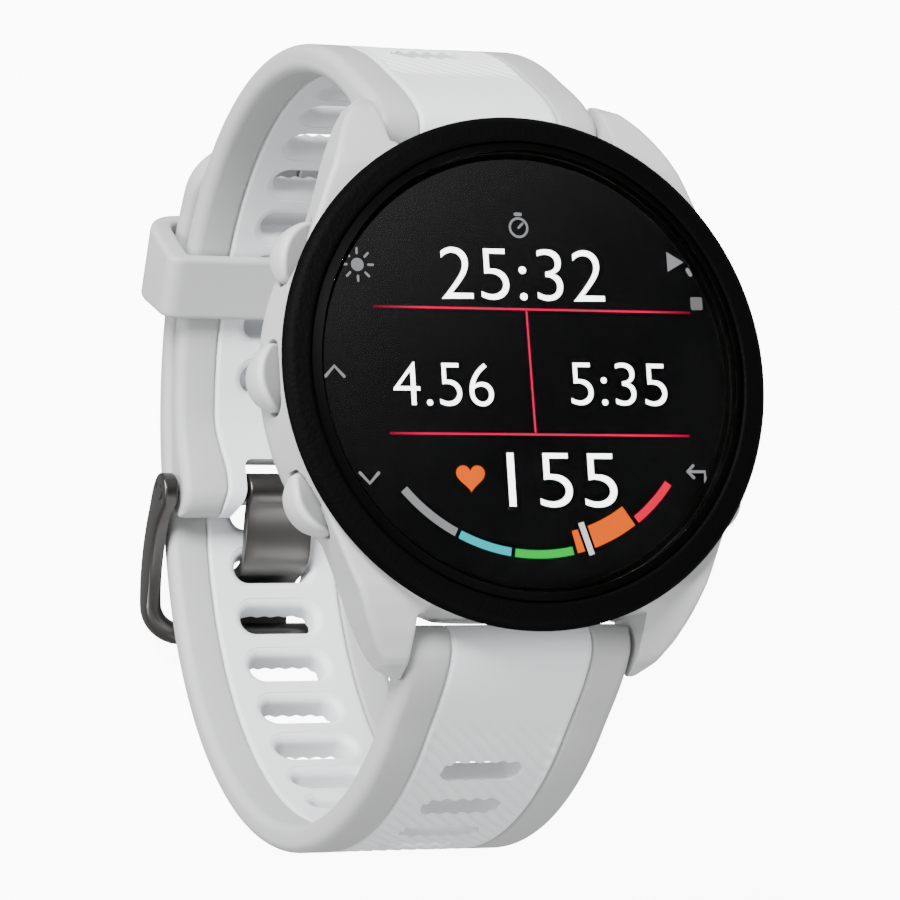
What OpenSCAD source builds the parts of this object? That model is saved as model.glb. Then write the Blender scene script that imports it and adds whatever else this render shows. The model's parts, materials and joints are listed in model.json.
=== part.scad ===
// Running watch with a buckled two-colour silicone strap.
// Frame: origin on the flat outer face of the sensor window, +Z out of the dial,
// +Y towards 12 o'clock, +X towards 3 o'clock. Millimetres.

/* [Case] */
// Diameter over the bezel
bezel_d = 43; // [40:0.5:52]
// Thickness from the sensor window to the top of the lens
watch_h = 11.6; // [10.4:0.1:14]
// Diameter of the case just above its back
case_back_d = 38; // [36:0.5:38.6]
// Wall of the case beside the works
case_wall = 2.6; // [2:0.1:2.9]
// Clearance between pieces that are fitted by hand
fit = 0.1; // [0.05:0.01:0.15]

/* [Dial] */
// Thickness of the glass
lens_t = 1.2; // [0.8:0.1:1.5]
// Width of the bezel ring seen from the front
bezel_w = 2.2; // [1.6:0.1:2.8]
// Width of the polished slope around the glass
lens_slope = 0.75; // [0.3:0.05:1.2]
// Thickness of the display module
display_t = 1.5; // [1:0.1:1.6]

/* [Back] */
// Radius of the sensor window
window_r = 7.4; // [6:0.1:8]
// Height of the window above the back cover
window_rise = 0.7; // [0.4:0.1:1]
// Radius of the circle that the four back screws sit on
screw_pcd_r = 16.5; // [16.2:0.1:16.7]
// Radius of a back screw's thread
screw_r = 0.5; // [0.4:0.05:0.6]
// Length of the charging socket's mouth
socket_l = 7; // [6:0.1:8]
// Width of the charging socket's mouth
socket_w = 2.2; // [1.8:0.1:2.6]

/* [Buttons] */
// Length of a button cap around the case
button_l = 5.8; // [5:0.1:7.4]
// Height of a button cap
button_h = 3.5; // [3:0.1:3.8]
// How far a cap stands out of the case
button_out = 1.8; // [1:0.1:2.4]
// Travel of a button
button_travel = 0.5; // [0.3:0.05:0.6]
// Radius of a button stem
stem_r = 0.7; // [0.5:0.05:0.8]
// Height of the buttons above the sensor window
button_z = 6.3; // [6:0.1:6.5]

/* [Strap] */
// Width of the strap
strap_w = 20; // [18:0.5:22]
// Thickness of the strap
strap_t = 2.5; // [2:0.1:2.8]
// Half width of the white middle of the strap
core_half = 6.3; // [5.6:0.1:7]
// Distance of each spring bar from the dial's centre line
bar_y = 22; // [21.6:0.1:24]
// Height of the spring bars above the sensor window
bar_z = 3.9; // [3.6:0.1:4.3]
// Sideways place of the wrist's centre, seen from 3 o'clock
wrist_y = 2.6; // [0:0.1:5]
// Depth of the wrist's centre below the sensor window
wrist_z = 19.6; // [18:0.1:23]
// Air between the two layers of strap
layer_gap = 1.0; // [0.9:0.05:1.4]
// Angle around the wrist at which the long strap ends
tip_angle = -32; // [-40:1:-25]
// Length of a slot across the strap
slot_w = 8.6; // [7:0.1:9.6]
// Width of a slot along the strap
slot_l = 3.0; // [2.8:0.1:3.2]
// Distance between slots along the strap
slot_pitch = 5.3; // [5:0.1:6]

/* [Buckle] */
// Radius of the buckle pin
pin_r = 0.7; // [0.6:0.05:0.8]
// Thickness of each side arm of the buckle
arm_t = 1.4; // [1.2:0.1:2]
// Radius of the buckle's far bar
far_bar_r = 1.0; // [0.8:0.1:1.1]
// Width of the tongue
tongue_w = 6.6; // [5:0.1:6.8]
// Thickness of the tongue
tongue_t = 1.1; // [0.8:0.1:1.2]
// Length of the keeper along the strap
keeper_l = 6.5; // [5:0.1:9]
// Wall of the keeper above and below the strap
keeper_t = 1.2; // [1:0.1:1.5]
// Wall of the keeper at the strap's sides
keeper_side_t = 2.1; // [1:0.1:2.5]

/* [Hidden] */
$fn = 96;

// Case, from the inside out
bezel_r = bezel_d / 2;
case_r = bezel_r - 0.5;               // at the top, under the bezel
back_r = case_back_d / 2;
cavity_r = case_r - case_wall - 0.6;
cover_top = window_rise + 1.3;
case_bottom = window_rise + 0.5;
ledge_z = cover_top + 0.3;
ledge_top = ledge_z + 0.7;
cover_r = back_r - 1.3;
ledge_r = screw_pcd_r - 1.2;
shoulder_z = watch_h - 1.7;           // the bezel rests here
side_round = 3.0;                      // height of the rounding at the foot of the side
lens_z = watch_h - lens_t;
seal_t = 0.3;
collar_z = lens_z - seal_t;
lens_r = bezel_r - bezel_w - fit;
collar_r = lens_r - 0.2;
display_r = cavity_r - 1.4;
board_z = button_z + stem_r + 0.5;
board_t = 0.8;
chip_h = collar_z - display_t - board_z - board_t - 0.05;
chassis_r = ledge_r - 0.2;
chassis_z = ledge_top + 0.2;

// Spring bars and lugs
bar_r = 0.75;
tip_r = 0.42;
lug_hole_r = tip_r + 0.08;
lug_in = strap_w / 2 + 0.2;
lug_t = 3.2;
lug_root = case_r * [cos(31), sin(31)];
lug_foot_y = sqrt(cavity_r * cavity_r - lug_in * lug_in) - 4;
tip_reach = 1.0;
lever_travel = tip_reach + 0.3;
end_r = 2.0;                           // silicone around a spring bar

// Buttons: the angle of each, counter-clockwise from 3 o'clock
button_angles = [150, 180, 210, 30, -30];
cap_out = case_side(button_z) + button_out;
cap_in = case_side(button_z) - 0.9;
cap_ease = 0.4;
crown_rise = button_out - 0.1;
crown_r = (button_l * button_l / 4 + crown_rise * crown_rise) / (2 * crown_rise);
pocket_in = cap_in - button_travel - 0.15;
clip_t = 0.3;
clip_w = 0.6;
stem_in = cavity_r - 0.9;
switch_out = stem_in - button_travel - 0.05;

// Strap, seen along X: each point is [y, z]
bar_top = [bar_y, bar_z];
bar_bottom = [-bar_y, bar_z];
wrist = [wrist_y, -wrist_z];
short_r = norm(bar_top - wrist);       // middle of the short strap's thickness
tail_r = short_r + strap_t + layer_gap;
flat_z = wrist[1] - tail_r;
heel_y = -3;
heel_h = bar_bottom[1] - flat_z;
heel_w = bar_bottom[0] - heel_y;
long_r = (heel_h * heel_h + heel_w * heel_w) / (2 * heel_h);
heel = [heel_y, flat_z + long_r];
short_start = atan2(bar_top[1] - wrist[1], bar_top[0] - wrist[0]);
short_end = -94;
long_start = atan2(bar_bottom[1] - heel[1], bar_bottom[0] - heel[0]);
long_end = 270;
tip_span = 9;                          // degrees of tail taken up by its rounded end
tip_round = (tail_r - strap_t / 2) * sin(tip_span) - 0.1;

// Buckle
pin_at = polar(wrist, short_r - 0.15, short_end - 0.5);
pin_boss_r = 2.2;
tongue_slot_angle = 263.2;
pitch_long = slot_pitch / long_r * 180 / PI;
pitch_short = slot_pitch / short_r * 180 / PI;
first_short_slot = 25.5;
// Place of the first slot past the heel's curve, counted from where the tail starts
first_tail_slot = slot_pitch - long_r * (long_end - tongue_slot_angle) * PI / 180 - (wrist[0] - heel_y);
tail_len = tail_r * (tip_angle + 90) * PI / 180;
tail_slots = floor((tail_len - 8 - first_tail_slot) / slot_pitch);
bar_gap = 0.85;
far_bar_angle = 254.3;
far_bar_at = polar(heel, long_r + strap_t / 2 + bar_gap + far_bar_r, far_bar_angle);
arm_in = strap_w / 2 + 0.4;
arm_w = 2.9;
arm_eye_r = 1.8;
slot_at = polar(heel, long_r, tongue_slot_angle);
slot_out = [cos(tongue_slot_angle), sin(tongue_slot_angle)];
bar_out = [cos(far_bar_angle), sin(far_bar_angle)];
tongue_end = far_bar_at + bar_out * (far_bar_r + 0.2 + tongue_t / 2);
tongue_dir = [sin(far_bar_angle), -cos(far_bar_angle)];
notch_w = tongue_w + 1.0;

// Keeper
keeper_angle = -56.2;
keeper_in = short_r - strap_t / 2 - 0.2;
keeper_out = tail_r + strap_t / 2 + 0.75;
keeper_half = strap_w / 2 + 0.4;
keeper_span = keeper_l / short_r * 180 / PI;

function polar(c, r, a) = c + r * [cos(a), sin(a)];

// Angle about the wrist of the k-th slot past the heel.
function tail_slot_angle(k) = -90 + (first_tail_slot + k * slot_pitch) / tail_r * 180 / PI;

// Radius of the case's side at height z: upright, with a quarter ellipse at its foot.
function case_side(z) = let (f = max(0, min(1, (z - case_bottom) / side_round)))
    back_r + (case_r - back_r) * sqrt(1 - (1 - f) * (1 - f));

function bezier(p0, p1, p2, p3, n) = [
    for (i = [0:n]) let (t = i / n, s = 1 - t)
        s * s * s * p0 + 3 * s * s * t * p1 + 3 * s * t * t * p2 + t * t * t * p3
];

// Turns a drawing of [y, z] points into a solid that runs along X.
module along_x(x0, x1, c = [0, 0])
    multmatrix([[0, 0, 1, x0], [1, 0, 0, c[0]], [0, 1, 0, c[1]], [0, 0, 0, 1]])
        linear_extrude(x1 - x0) children();

// Places a body of revolution, drawn about Z, so that it turns about X at [y, z].
module about_x(c)
    multmatrix([[0, 0, 1, 0], [1, 0, 0, c[0]], [0, 1, 0, c[1]], [0, 0, 0, 1]]) children();

// A cylinder along X at [y, z].
module rod_x(c, r, x0, x1) along_x(x0, x1, c) circle(r);

// A ring about Z between two heights.
module ring(r0, r1, z0, z1) translate([0, 0, z0]) difference() {
    cylinder(r = r1, h = z1 - z0);
    translate([0, 0, -1]) cylinder(r = r0, h = z1 - z0 + 2);
}

// A slot shape: long side along its first axis.
module pill(l, w) union() {
    square([l - w, w], center = true);
    for (s = [-1, 1]) translate([s * (l - w) / 2, 0]) circle(w / 2);
}

// ---- Case ----

module case_profile() polygon([
    [back_r - 0.8, case_bottom],
    [cover_r + fit, case_bottom],
    [cover_r + fit, ledge_z],
    [ledge_r, ledge_z],
    [ledge_r, ledge_top],
    [cavity_r, ledge_top],
    [cavity_r, collar_z],
    [collar_r, collar_z],
    [collar_r, shoulder_z],
    [case_r, shoulder_z],
    for (i = [6:-1:0]) let (z = case_bottom + side_round * (0.05 + 0.95 * i / 6)) [case_side(z), z]
]);

// Side view of a lug: it leaves the case under the bezel and drops to the spring bar.
module lug_side() union() {
    polygon([
        [lug_foot_y, shoulder_z - 0.3], [case_r - 1.4, shoulder_z - 0.3],
        [bar_y + 2.1, bar_z + 1.1], [bar_y + 2.3, bar_z - 0.6],
        [bar_y + 0.2, bar_z - 2.3], [back_r - 2.0, case_bottom + 0.9], [lug_foot_y, ledge_top + 0.8]
    ]);
    translate([bar_y, bar_z]) circle(2.35);
}

// Plan of a lug: it narrows towards its tip.
module lug_plan() polygon([
    [lug_in, lug_foot_y], [lug_root[0] - 3, lug_foot_y], lug_root,
    [lug_in + lug_t + 2.2, lug_root[1] + 5.2], [lug_in + lug_t + 0.6, bar_y - 1.8],
    [lug_in + lug_t - 0.4, bar_y], [lug_in + lug_t - 1.5, bar_y + 1.6],
    [lug_in + 0.9, bar_y + 2.5], [lug_in, bar_y + 2.5]
]);

module lugs() for (sx = [-1, 1], sy = [-1, 1]) mirror([sx < 0 ? 1 : 0, 0, 0])
    mirror([0, sy < 0 ? 1 : 0, 0]) intersection() {
        along_x(lug_in, lug_in + lug_t + 4) lug_side();
        linear_extrude(watch_h) lug_plan();
    }

module button_frame(a) rotate([0, 0, a]) translate([0, 0, button_z]) rotate([90, 0, 90]) children();

module screw_places() for (k = [0:3]) rotate([0, 0, 45 + 90 * k]) translate([screw_pcd_r, 0, 0]) children();

module case_body() color([0.80, 0.81, 0.82]) difference() {
    union() {
        rotate_extrude($fn = 72) case_profile();
        difference() {
            lugs();
            translate([0, 0, -1]) cylinder(r = cavity_r + 0.5, h = watch_h + 2);
        }
        screw_places() translate([0, 0, ledge_z]) intersection() {
            cylinder(r = 1.3, h = 2.1);
            translate([-screw_pcd_r, 0, 0]) cylinder(r = cavity_r + 0.3, h = 2.1);
        }
    }
    screw_places() translate([0, 0, ledge_z - 1]) cylinder(r = screw_r, h = 2.8);
    for (a = button_angles) {
        button_frame(a) translate([0, 0, pocket_in])
            linear_extrude(5) pill(button_l + 2 * fit + 0.2, button_h + 2 * fit + 0.2);
        button_frame(a) translate([0, 0, cavity_r - 2]) cylinder(r = stem_r + fit, h = 6);
        button_frame(a) translate([0, 0, pocket_in - 0.8]) cylinder(r = stem_r + 0.6, h = 1.5);
    }
    for (sy = [-1, 1]) rod_x([sy * bar_y, bar_z], lug_hole_r, -lug_in - 1.6, lug_in + 1.6);
    for (sy = [-1, 1]) rod_x([sy * bar_y, bar_z], end_r + 0.35, -lug_in, lug_in);
}

module bezel() color([0.06, 0.06, 0.065]) rotate_extrude() polygon([
    [collar_r + fit, shoulder_z], [bezel_r - 0.3, shoulder_z], [bezel_r, shoulder_z + 0.35],
    [bezel_r, watch_h - 1.0], [bezel_r - 0.5, watch_h - 0.45], [lens_r + 0.5, watch_h - 0.3],
    [lens_r + fit, watch_h - 0.4], [lens_r + fit, collar_z], [collar_r + fit, collar_z]
]);

module lens() color([0.02, 0.02, 0.025, 0.6]) rotate_extrude() polygon([
    [0, lens_z], [lens_r, lens_z], [lens_r, watch_h - 0.55], [lens_r - lens_slope, watch_h], [0, watch_h]
]);

module lens_seal() color([0.1, 0.1, 0.1]) ring(cavity_r + 0.1, lens_r - 0.3, collar_z, lens_z);

module display_panel() color([0.03, 0.03, 0.04]) union() {
    translate([0, 0, collar_z - display_t]) cylinder(r = display_r, h = display_t);
    translate([-4, -display_r - 0.6, collar_z - display_t]) cube([8, 1.4, 0.6]);
}

// ---- Works ----

battery_size = [21, 15.4, button_z + stem_r - chassis_z - 0.4];
motor_y = 11.2;

module inner_chassis() color([0.2, 0.2, 0.21]) difference() {
    translate([0, 0, chassis_z]) cylinder(r = chassis_r, h = board_z - chassis_z - 0.1);
    translate([0, 0, chassis_z + battery_size[2] / 2])
        cube([battery_size[0] + 0.4, battery_size[1] + 0.4, battery_size[2] + 4], center = true);
    translate([-4.4, motor_y - 2.2, chassis_z - 1]) cube([8.8, 4.4, 8]);
    translate([-9, -14, chassis_z + 2]) cube([18, 5.6, 8]);
}

module main_board() color([0.05, 0.25, 0.16]) union() {
    translate([0, 0, board_z]) cylinder(r = cavity_r - 0.5, h = board_t);
    translate([-6.5, -4.5, board_z + board_t]) cube([6, 6, chip_h]);
    translate([1.5, -1, board_z + board_t]) cube([4.5, 3.6, chip_h]);
    translate([-8, -12.6, board_z - 1]) cube([7, 3.6, 1]);
    translate([1.5, -12.2, board_z - 0.9]) cube([4, 2.4, 0.9]);
}

module battery() color([0.75, 0.76, 0.78]) translate([0, 0, chassis_z + battery_size[2] / 2])
    cube(battery_size, center = true);

module gps_antenna() color([0.72, 0.45, 0.2]) intersection() {
    ring(cavity_r - 1.1, cavity_r - 0.2, board_z + board_t, collar_z - 0.1);
    rotate([0, 0, 50]) cube([30, 30, 30]);
}

module vibration_motor() color([0.7, 0.7, 0.72]) rod_x([motor_y, chassis_z + 2], 2, -4, 4);

module buzzer() color([0.78, 0.66, 0.3]) translate([0, window_r + 4.4, cover_top]) union() {
    cylinder(r = 3.1, h = 0.2);
    cylinder(r = 2.3, h = 0.4);
}

// ---- Back ----

socket_y = -12;
socket_wall = 0.7;

module back_cover() color([0.78, 0.79, 0.80]) difference() {
    rotate_extrude() polygon([
        [0, window_rise], [cover_r - 0.4, window_rise], [cover_r, window_rise + 0.4],
        [cover_r, cover_top], [0, cover_top]
    ]);
    translate([0, 0, -1]) cylinder(r = window_r + fit, h = 6);
    screw_places() translate([0, 0, -1]) cylinder(r = screw_r + 0.1, h = 6);
    screw_places() translate([0, 0, window_rise - 1]) cylinder(r = 0.95, h = 1.55);
    translate([0, socket_y, -1]) linear_extrude(6)
        square([socket_l + 2 * socket_wall + 2 * fit, socket_w + 2 * socket_wall + 2 * fit], center = true);
}

module back_seal() color([0.15, 0.15, 0.15])
    ring(ledge_r + 0.05, ledge_r + 0.45, cover_top, ledge_z);

module back_screws() color([0.6, 0.6, 0.62]) screw_places() difference() {
    union() {
        translate([0, 0, window_rise + 0.1]) cylinder(r = 0.85, h = 0.45);
        translate([0, 0, window_rise + 0.5]) cylinder(r = screw_r - 0.05, h = ledge_z - window_rise + 0.9);
    }
    translate([0, 0, window_rise]) cylinder(r = 0.4, h = 0.35, $fn = 6);
}

module sensor_window() color([0.04, 0.04, 0.05]) difference() {
    union() {
        rotate_extrude() polygon([
            [0, 0], [window_r - 0.6, 0], [window_r, 0.45], [window_r, cover_top], [0, cover_top]
        ]);
        translate([0, 0, cover_top]) cylinder(r = window_r + 0.5, h = 0.5);
    }
    translate([0, 0, 1.0]) cylinder(r = window_r - 1.6, h = 6);
}

module sensor_board() color([0.05, 0.25, 0.16])
    translate([0, 0, cover_top + 0.5]) cylinder(r = window_r - 0.6, h = 0.5);

module sensor_leds() color([0.85, 0.86, 0.7]) {
    led_z = cover_top - 0.3;
    for (k = [0:2]) rotate([0, 0, 90 + 120 * k]) translate([3.6, 0, led_z + 0.4])
        cube([1.6, 1.6, 0.8], center = true);
    translate([0, 0, led_z + 0.4]) cube([2.6, 2.6, 0.8], center = true);
}

module charge_socket() color([0.08, 0.08, 0.085]) translate([0, socket_y, window_rise + 0.1])
    difference() {
        linear_extrude(2.2)
            square([socket_l + 2 * socket_wall, socket_w + 2 * socket_wall], center = true);
        translate([0, 0, -1]) linear_extrude(2.1) pill(socket_l, socket_w);
        for (k = [-1.5:1.5]) translate([k * 1.6, 0, -1]) cylinder(r = 0.4, h = 5);
    }

module charge_contacts() color([0.85, 0.7, 0.35]) translate([0, socket_y, window_rise + 0.6])
    for (k = [-1.5:1.5]) translate([k * 1.6, 0, 0]) cylinder(r = 0.36, h = 1.9);

// ---- Buttons ----

module button_switches() color([0.82, 0.8, 0.7]) for (a = button_angles)
    button_frame(a) translate([-1.6, -stem_r - 0.4, chassis_r + 0.1])
        cube([3.2, 2 * stem_r + 0.8, switch_out - chassis_r - 0.1]);

module button_seals() color([0.12, 0.12, 0.12]) for (a = button_angles)
    button_frame(a) translate([0, 0, pocket_in - 0.7]) difference() {
        cylinder(r = stem_r + 0.5, h = 0.6);
        translate([0, 0, -1]) cylinder(r = stem_r + 0.03, h = 3);
    }

// A cap whose outer face is a shallow arc seen from the dial; grow thickens the arc.
module cap(a, l, h, grow) intersection() {
    button_frame(a) translate([0, 0, cap_in]) linear_extrude(cap_out - cap_in + 1) pill(l, h);
    rotate([0, 0, a]) translate([cap_out - crown_r, 0, 0]) cylinder(r = crown_r + grow, h = watch_h + 4);
}

module button(a) color([0.80, 0.81, 0.82]) union() {
    cap(a, button_l, button_h, -cap_ease);
    cap(a, button_l - 2 * cap_ease, button_h - 2 * cap_ease, 0);
    button_frame(a) translate([0, 0, stem_in]) difference() {
        cylinder(r = stem_r, h = cap_in - stem_in + 0.3);
        translate([0, 0, 0.2]) ring(stem_r - 0.2, stem_r + 1, 0, clip_t + 0.1);
    }
}

module button_clip(a) color([0.65, 0.65, 0.68]) button_frame(a) translate([0, 0, stem_in + 0.25])
    rotate_extrude(angle = 280) translate([stem_r - 0.18, 0]) square([clip_w, clip_t]);

// ---- Strap ----

// Cross-section of a strap layer between x0 and x1 at radius r, its outer corners eased.
module layer(r, x0, x1, ease = 0.5) {
    w = strap_w / 2;
    polygon([
        [r - strap_t / 2, max(x0, -w + ease)], [r - strap_t / 2 + (x0 <= -w ? ease : 0), x0],
        [r + strap_t / 2 - (x0 <= -w ? ease : 0), x0], [r + strap_t / 2, max(x0, -w + ease)],
        [r + strap_t / 2, min(x1, w - ease)], [r + strap_t / 2 - (x1 >= w ? ease : 0), x1],
        [r - strap_t / 2 + (x1 >= w ? ease : 0), x1], [r - strap_t / 2, min(x1, w - ease)]
    ]);
}

module band(c, r, a0, a1, x0, x1)
    about_x(c) rotate([0, 0, a0]) rotate_extrude(angle = a1 - a0) layer(r, x0, x1);

// A slot cut straight through a layer at one angle.
module slot(c, r, a) about_x(c) rotate([0, 0, a]) translate([r, 0, 0]) rotate([0, 90, 0])
    linear_extrude(2 * strap_t, center = true) pill(slot_w, slot_l);

// The white middle and the grey rails share every outline; only their x range differs.
module short_layer(x0, x1) union() {
    band(wrist, short_r, short_end, short_start, x0, x1);
    rod_x(bar_top, end_r, x0, x1);
    rod_x(pin_at, pin_boss_r, x0, x1);
}

module short_cuts() {
    rod_x(bar_top, bar_r + fit, -strap_w, strap_w);
    rod_x(pin_at, pin_r + fit, -strap_w, strap_w);
    rod_x(pin_at, pin_boss_r + 0.5, -notch_w / 2, notch_w / 2);
    about_x(wrist) rotate([0, 0, short_start]) translate([short_r - 2.4, 0, -6.4]) rotate([0, 90, 0])
        linear_extrude(5, center = true) translate([-lever_travel / 2, 0]) pill(1.6 + lever_travel, 1.6);
}

module short_strap_rails() color([0.79, 0.80, 0.81]) difference() {
    for (s = [-1, 1]) short_layer(min(s * core_half, s * strap_w / 2), max(s * core_half, s * strap_w / 2));
    short_cuts();
}

module short_strap_core() color([0.96, 0.96, 0.97]) difference() {
    short_layer(-core_half, core_half);
    short_cuts();
    for (k = [0:10]) slot(wrist, short_r, first_short_slot - k * pitch_short);
}

// The straight stretch between the heel's curve and the tail's.
module flat_layer(x0, x1) multmatrix([[0, 1, 0, 0], [0, 0, -1, wrist[0]], [-1, 0, 0, wrist[1]]])
    linear_extrude(wrist[0] - heel[0]) layer(tail_r, x0, x1);

module long_layer(x0, x1) union() {
    about_x(heel) rotate([0, 0, long_end]) mirror([0, 1, 0])
        rotate_extrude(angle = long_end - long_start) layer(long_r, x0, x1);
    flat_layer(x0, x1);
    band(wrist, tail_r, -90, tip_angle, x0, x1);
    rod_x(bar_bottom, end_r, x0, x1);
}

// Rounds the corners of the long strap's free end.
module tip_cut() about_x(wrist) rotate([0, 0, tip_angle - tip_span]) translate([tail_r, 0, 0])
    rotate([0, 90, 0]) linear_extrude(8, center = true) difference() {
        translate([-strap_w, 0]) square([2 * strap_w, strap_w]);
        pill(strap_w + 0.1, 2 * tip_round);
    }

module long_cuts() {
    rod_x(bar_bottom, bar_r + fit, -strap_w, strap_w);
    about_x(heel) rotate([0, 0, long_start]) translate([long_r - 2.4, 0, -6.4]) rotate([0, 90, 0])
        linear_extrude(5, center = true) translate([-lever_travel / 2, 0]) pill(1.6 + lever_travel, 1.6);
    tip_cut();
}

module long_slots() {
    for (k = [0:12]) slot(heel, long_r, tongue_slot_angle - k * pitch_long);
    translate([0, wrist_y + first_tail_slot, flat_z]) linear_extrude(2 * strap_t, center = true)
        pill(slot_w, slot_l);
    for (k = [1:tail_slots]) slot(wrist, tail_r, tail_slot_angle(k));
}

module long_strap_rails() color([0.79, 0.80, 0.81]) difference() {
    for (s = [-1, 1]) long_layer(min(s * core_half, s * strap_w / 2), max(s * core_half, s * strap_w / 2));
    long_cuts();
}

module long_strap_core() color([0.96, 0.96, 0.97]) difference() {
    long_layer(-core_half, core_half);
    long_cuts();
    long_slots();
}

// ---- Spring bars ----

tube_end = strap_w / 2 - 0.8;

// The tube with its fixed tip at +X; the lever's slot faces the wrist.
module spring_bar(c, a) color([0.66, 0.67, 0.69]) difference() {
    union() {
        rod_x(c, bar_r, -tube_end, tube_end);
        rod_x(c, tip_r, tube_end - 0.5, lug_in + tip_reach);
    }
    rod_x(c, tip_r + 0.06, -tube_end - 1, tube_end - 1.5);
    about_x(c) rotate([0, 0, a]) translate([-1, 0, -6.4]) rotate([0, 90, 0])
        linear_extrude(2, center = true) translate([-lever_travel / 2, 0]) pill(1.2 + lever_travel, 1.2);
}

// The sliding tip at -X with its thumb lever.
module release_pin(c, a) color([0.6, 0.61, 0.63]) union() {
    rod_x(c, tip_r, -lug_in - tip_reach, -5.4);
    about_x(c) rotate([0, 0, a]) translate([0, 0, -6.4]) rotate([0, -90, 0]) cylinder(r = 0.5, h = 3);
}

// The coil that pushes the sliding tip out, drawn as its sleeve.
module bar_spring(c) color([0.5, 0.5, 0.52]) along_x(-5.3, tube_end - 1.6, c) difference() {
    circle(tip_r);
    circle(tip_r - 0.2);
}

// ---- Buckle ----

module buckle_pin() color([0.35, 0.35, 0.37]) rod_x(pin_at, pin_r, -arm_in - arm_t, arm_in + arm_t);

// A band of even width along a list of points, with round joints.
module ribbon(pts, w) union() {
    for (i = [0:len(pts) - 2]) let (d = pts[i + 1] - pts[i], a = atan2(d[1], d[0]))
        translate(pts[i]) rotate(a) translate([0, -w / 2]) square([norm(d), w]);
    for (p = pts) translate(p) circle(w / 2);
}

module arm_side() difference() {
    union() {
        ribbon(bezier(pin_at, pin_at + [-1.7, -3.2], far_bar_at + [3.9, -2.2], far_bar_at, 9), arm_w);
        translate(pin_at) circle(arm_eye_r);
    }
    translate(pin_at) circle(pin_r + 0.05);
}

module buckle_frame() color([0.35, 0.35, 0.37]) union() {
    for (s = [-1, 1]) along_x(s > 0 ? arm_in : -arm_in - arm_t, s > 0 ? arm_in + arm_t : -arm_in)
        arm_side();
    rod_x(far_bar_at, far_bar_r, -arm_in - 0.2, arm_in + 0.2);
}

module tongue_side() difference() {
    union() {
        translate(pin_at) circle(pin_r + 1.0);
        ribbon(bezier(pin_at + [-0.9, -0.2], pin_at + [-6.0, 0.3], slot_at - slot_out * 2.8, slot_at, 9), tongue_t);
        ribbon(bezier(slot_at, slot_at + slot_out * 3.6, tongue_end - tongue_dir * 3.5, tongue_end, 9), tongue_t);
        ribbon([tongue_end, tongue_end + tongue_dir * 1.2], tongue_t);
    }
    translate(pin_at) circle(pin_r + 0.06);
}

module buckle_tongue() color([0.38, 0.38, 0.4]) along_x(-tongue_w / 2, tongue_w / 2) tongue_side();

// The keeper's outline seen along the strap: r runs outwards, and the corners are cut off.
module keeper_outline() let (
    r0 = keeper_in - keeper_t, r1 = keeper_out + keeper_t, x = keeper_half + keeper_side_t,
    e0 = keeper_side_t * 0.6, e1 = keeper_side_t * 1.2
) polygon([
    [r0, -x + e0], [r0 + e0, -x], [r1 - e1, -x], [r1, -x + e1],
    [r1, x - e1], [r1 - e1, x], [r0 + e0, x], [r0, x - e0]
]);

module strap_keeper() color([0.79, 0.80, 0.81]) about_x(wrist)
    rotate([0, 0, keeper_angle - keeper_span / 2]) difference() {
        rotate_extrude(angle = keeper_span) keeper_outline();
        rotate([0, 0, -5]) rotate_extrude(angle = keeper_span + 10)
            translate([keeper_in, -keeper_half]) square([keeper_out - keeper_in, 2 * keeper_half]);
    }

case_body();
bezel();
lens();
lens_seal();
display_panel();
inner_chassis();
main_board();
battery();
gps_antenna();
vibration_motor();
buzzer();
back_cover();
back_seal();
back_screws();
sensor_window();
sensor_board();
sensor_leds();
charge_socket();
charge_contacts();
button_switches();
button_seals();
button(button_angles[0]);  // light_button
button(button_angles[1]);  // up_button
button(button_angles[2]);  // down_button
button(button_angles[3]);  // start_button
button(button_angles[4]);  // back_button
button_clip(button_angles[0]);  // light_clip
button_clip(button_angles[1]);  // up_clip
button_clip(button_angles[2]);  // down_clip
button_clip(button_angles[3]);  // start_clip
button_clip(button_angles[4]);  // back_clip
short_strap_rails();
short_strap_core();
spring_bar(bar_top, short_start);  // top_spring_bar
release_pin(bar_top, short_start);  // top_release_pin
bar_spring(bar_top);  // top_bar_spring
buckle_pin();
strap_keeper();
buckle_frame();
buckle_tongue();
long_strap_rails();
long_strap_core();
spring_bar(bar_bottom, long_start);  // bottom_spring_bar
release_pin(bar_bottom, long_start);  // bottom_release_pin
bar_spring(bar_bottom);  // bottom_bar_spring
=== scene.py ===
"""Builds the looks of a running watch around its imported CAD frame.

Laid out as an add-on: sizes and colours are scene properties, each piece or group
of pieces has an operator, and the panel in the 3D view's sidebar lists them.
"""

import json
import math

import bmesh
import bpy
import numpy as np
from bpy.props import FloatProperty, FloatVectorProperty, PointerProperty
from mathutils import Matrix, Vector


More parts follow.
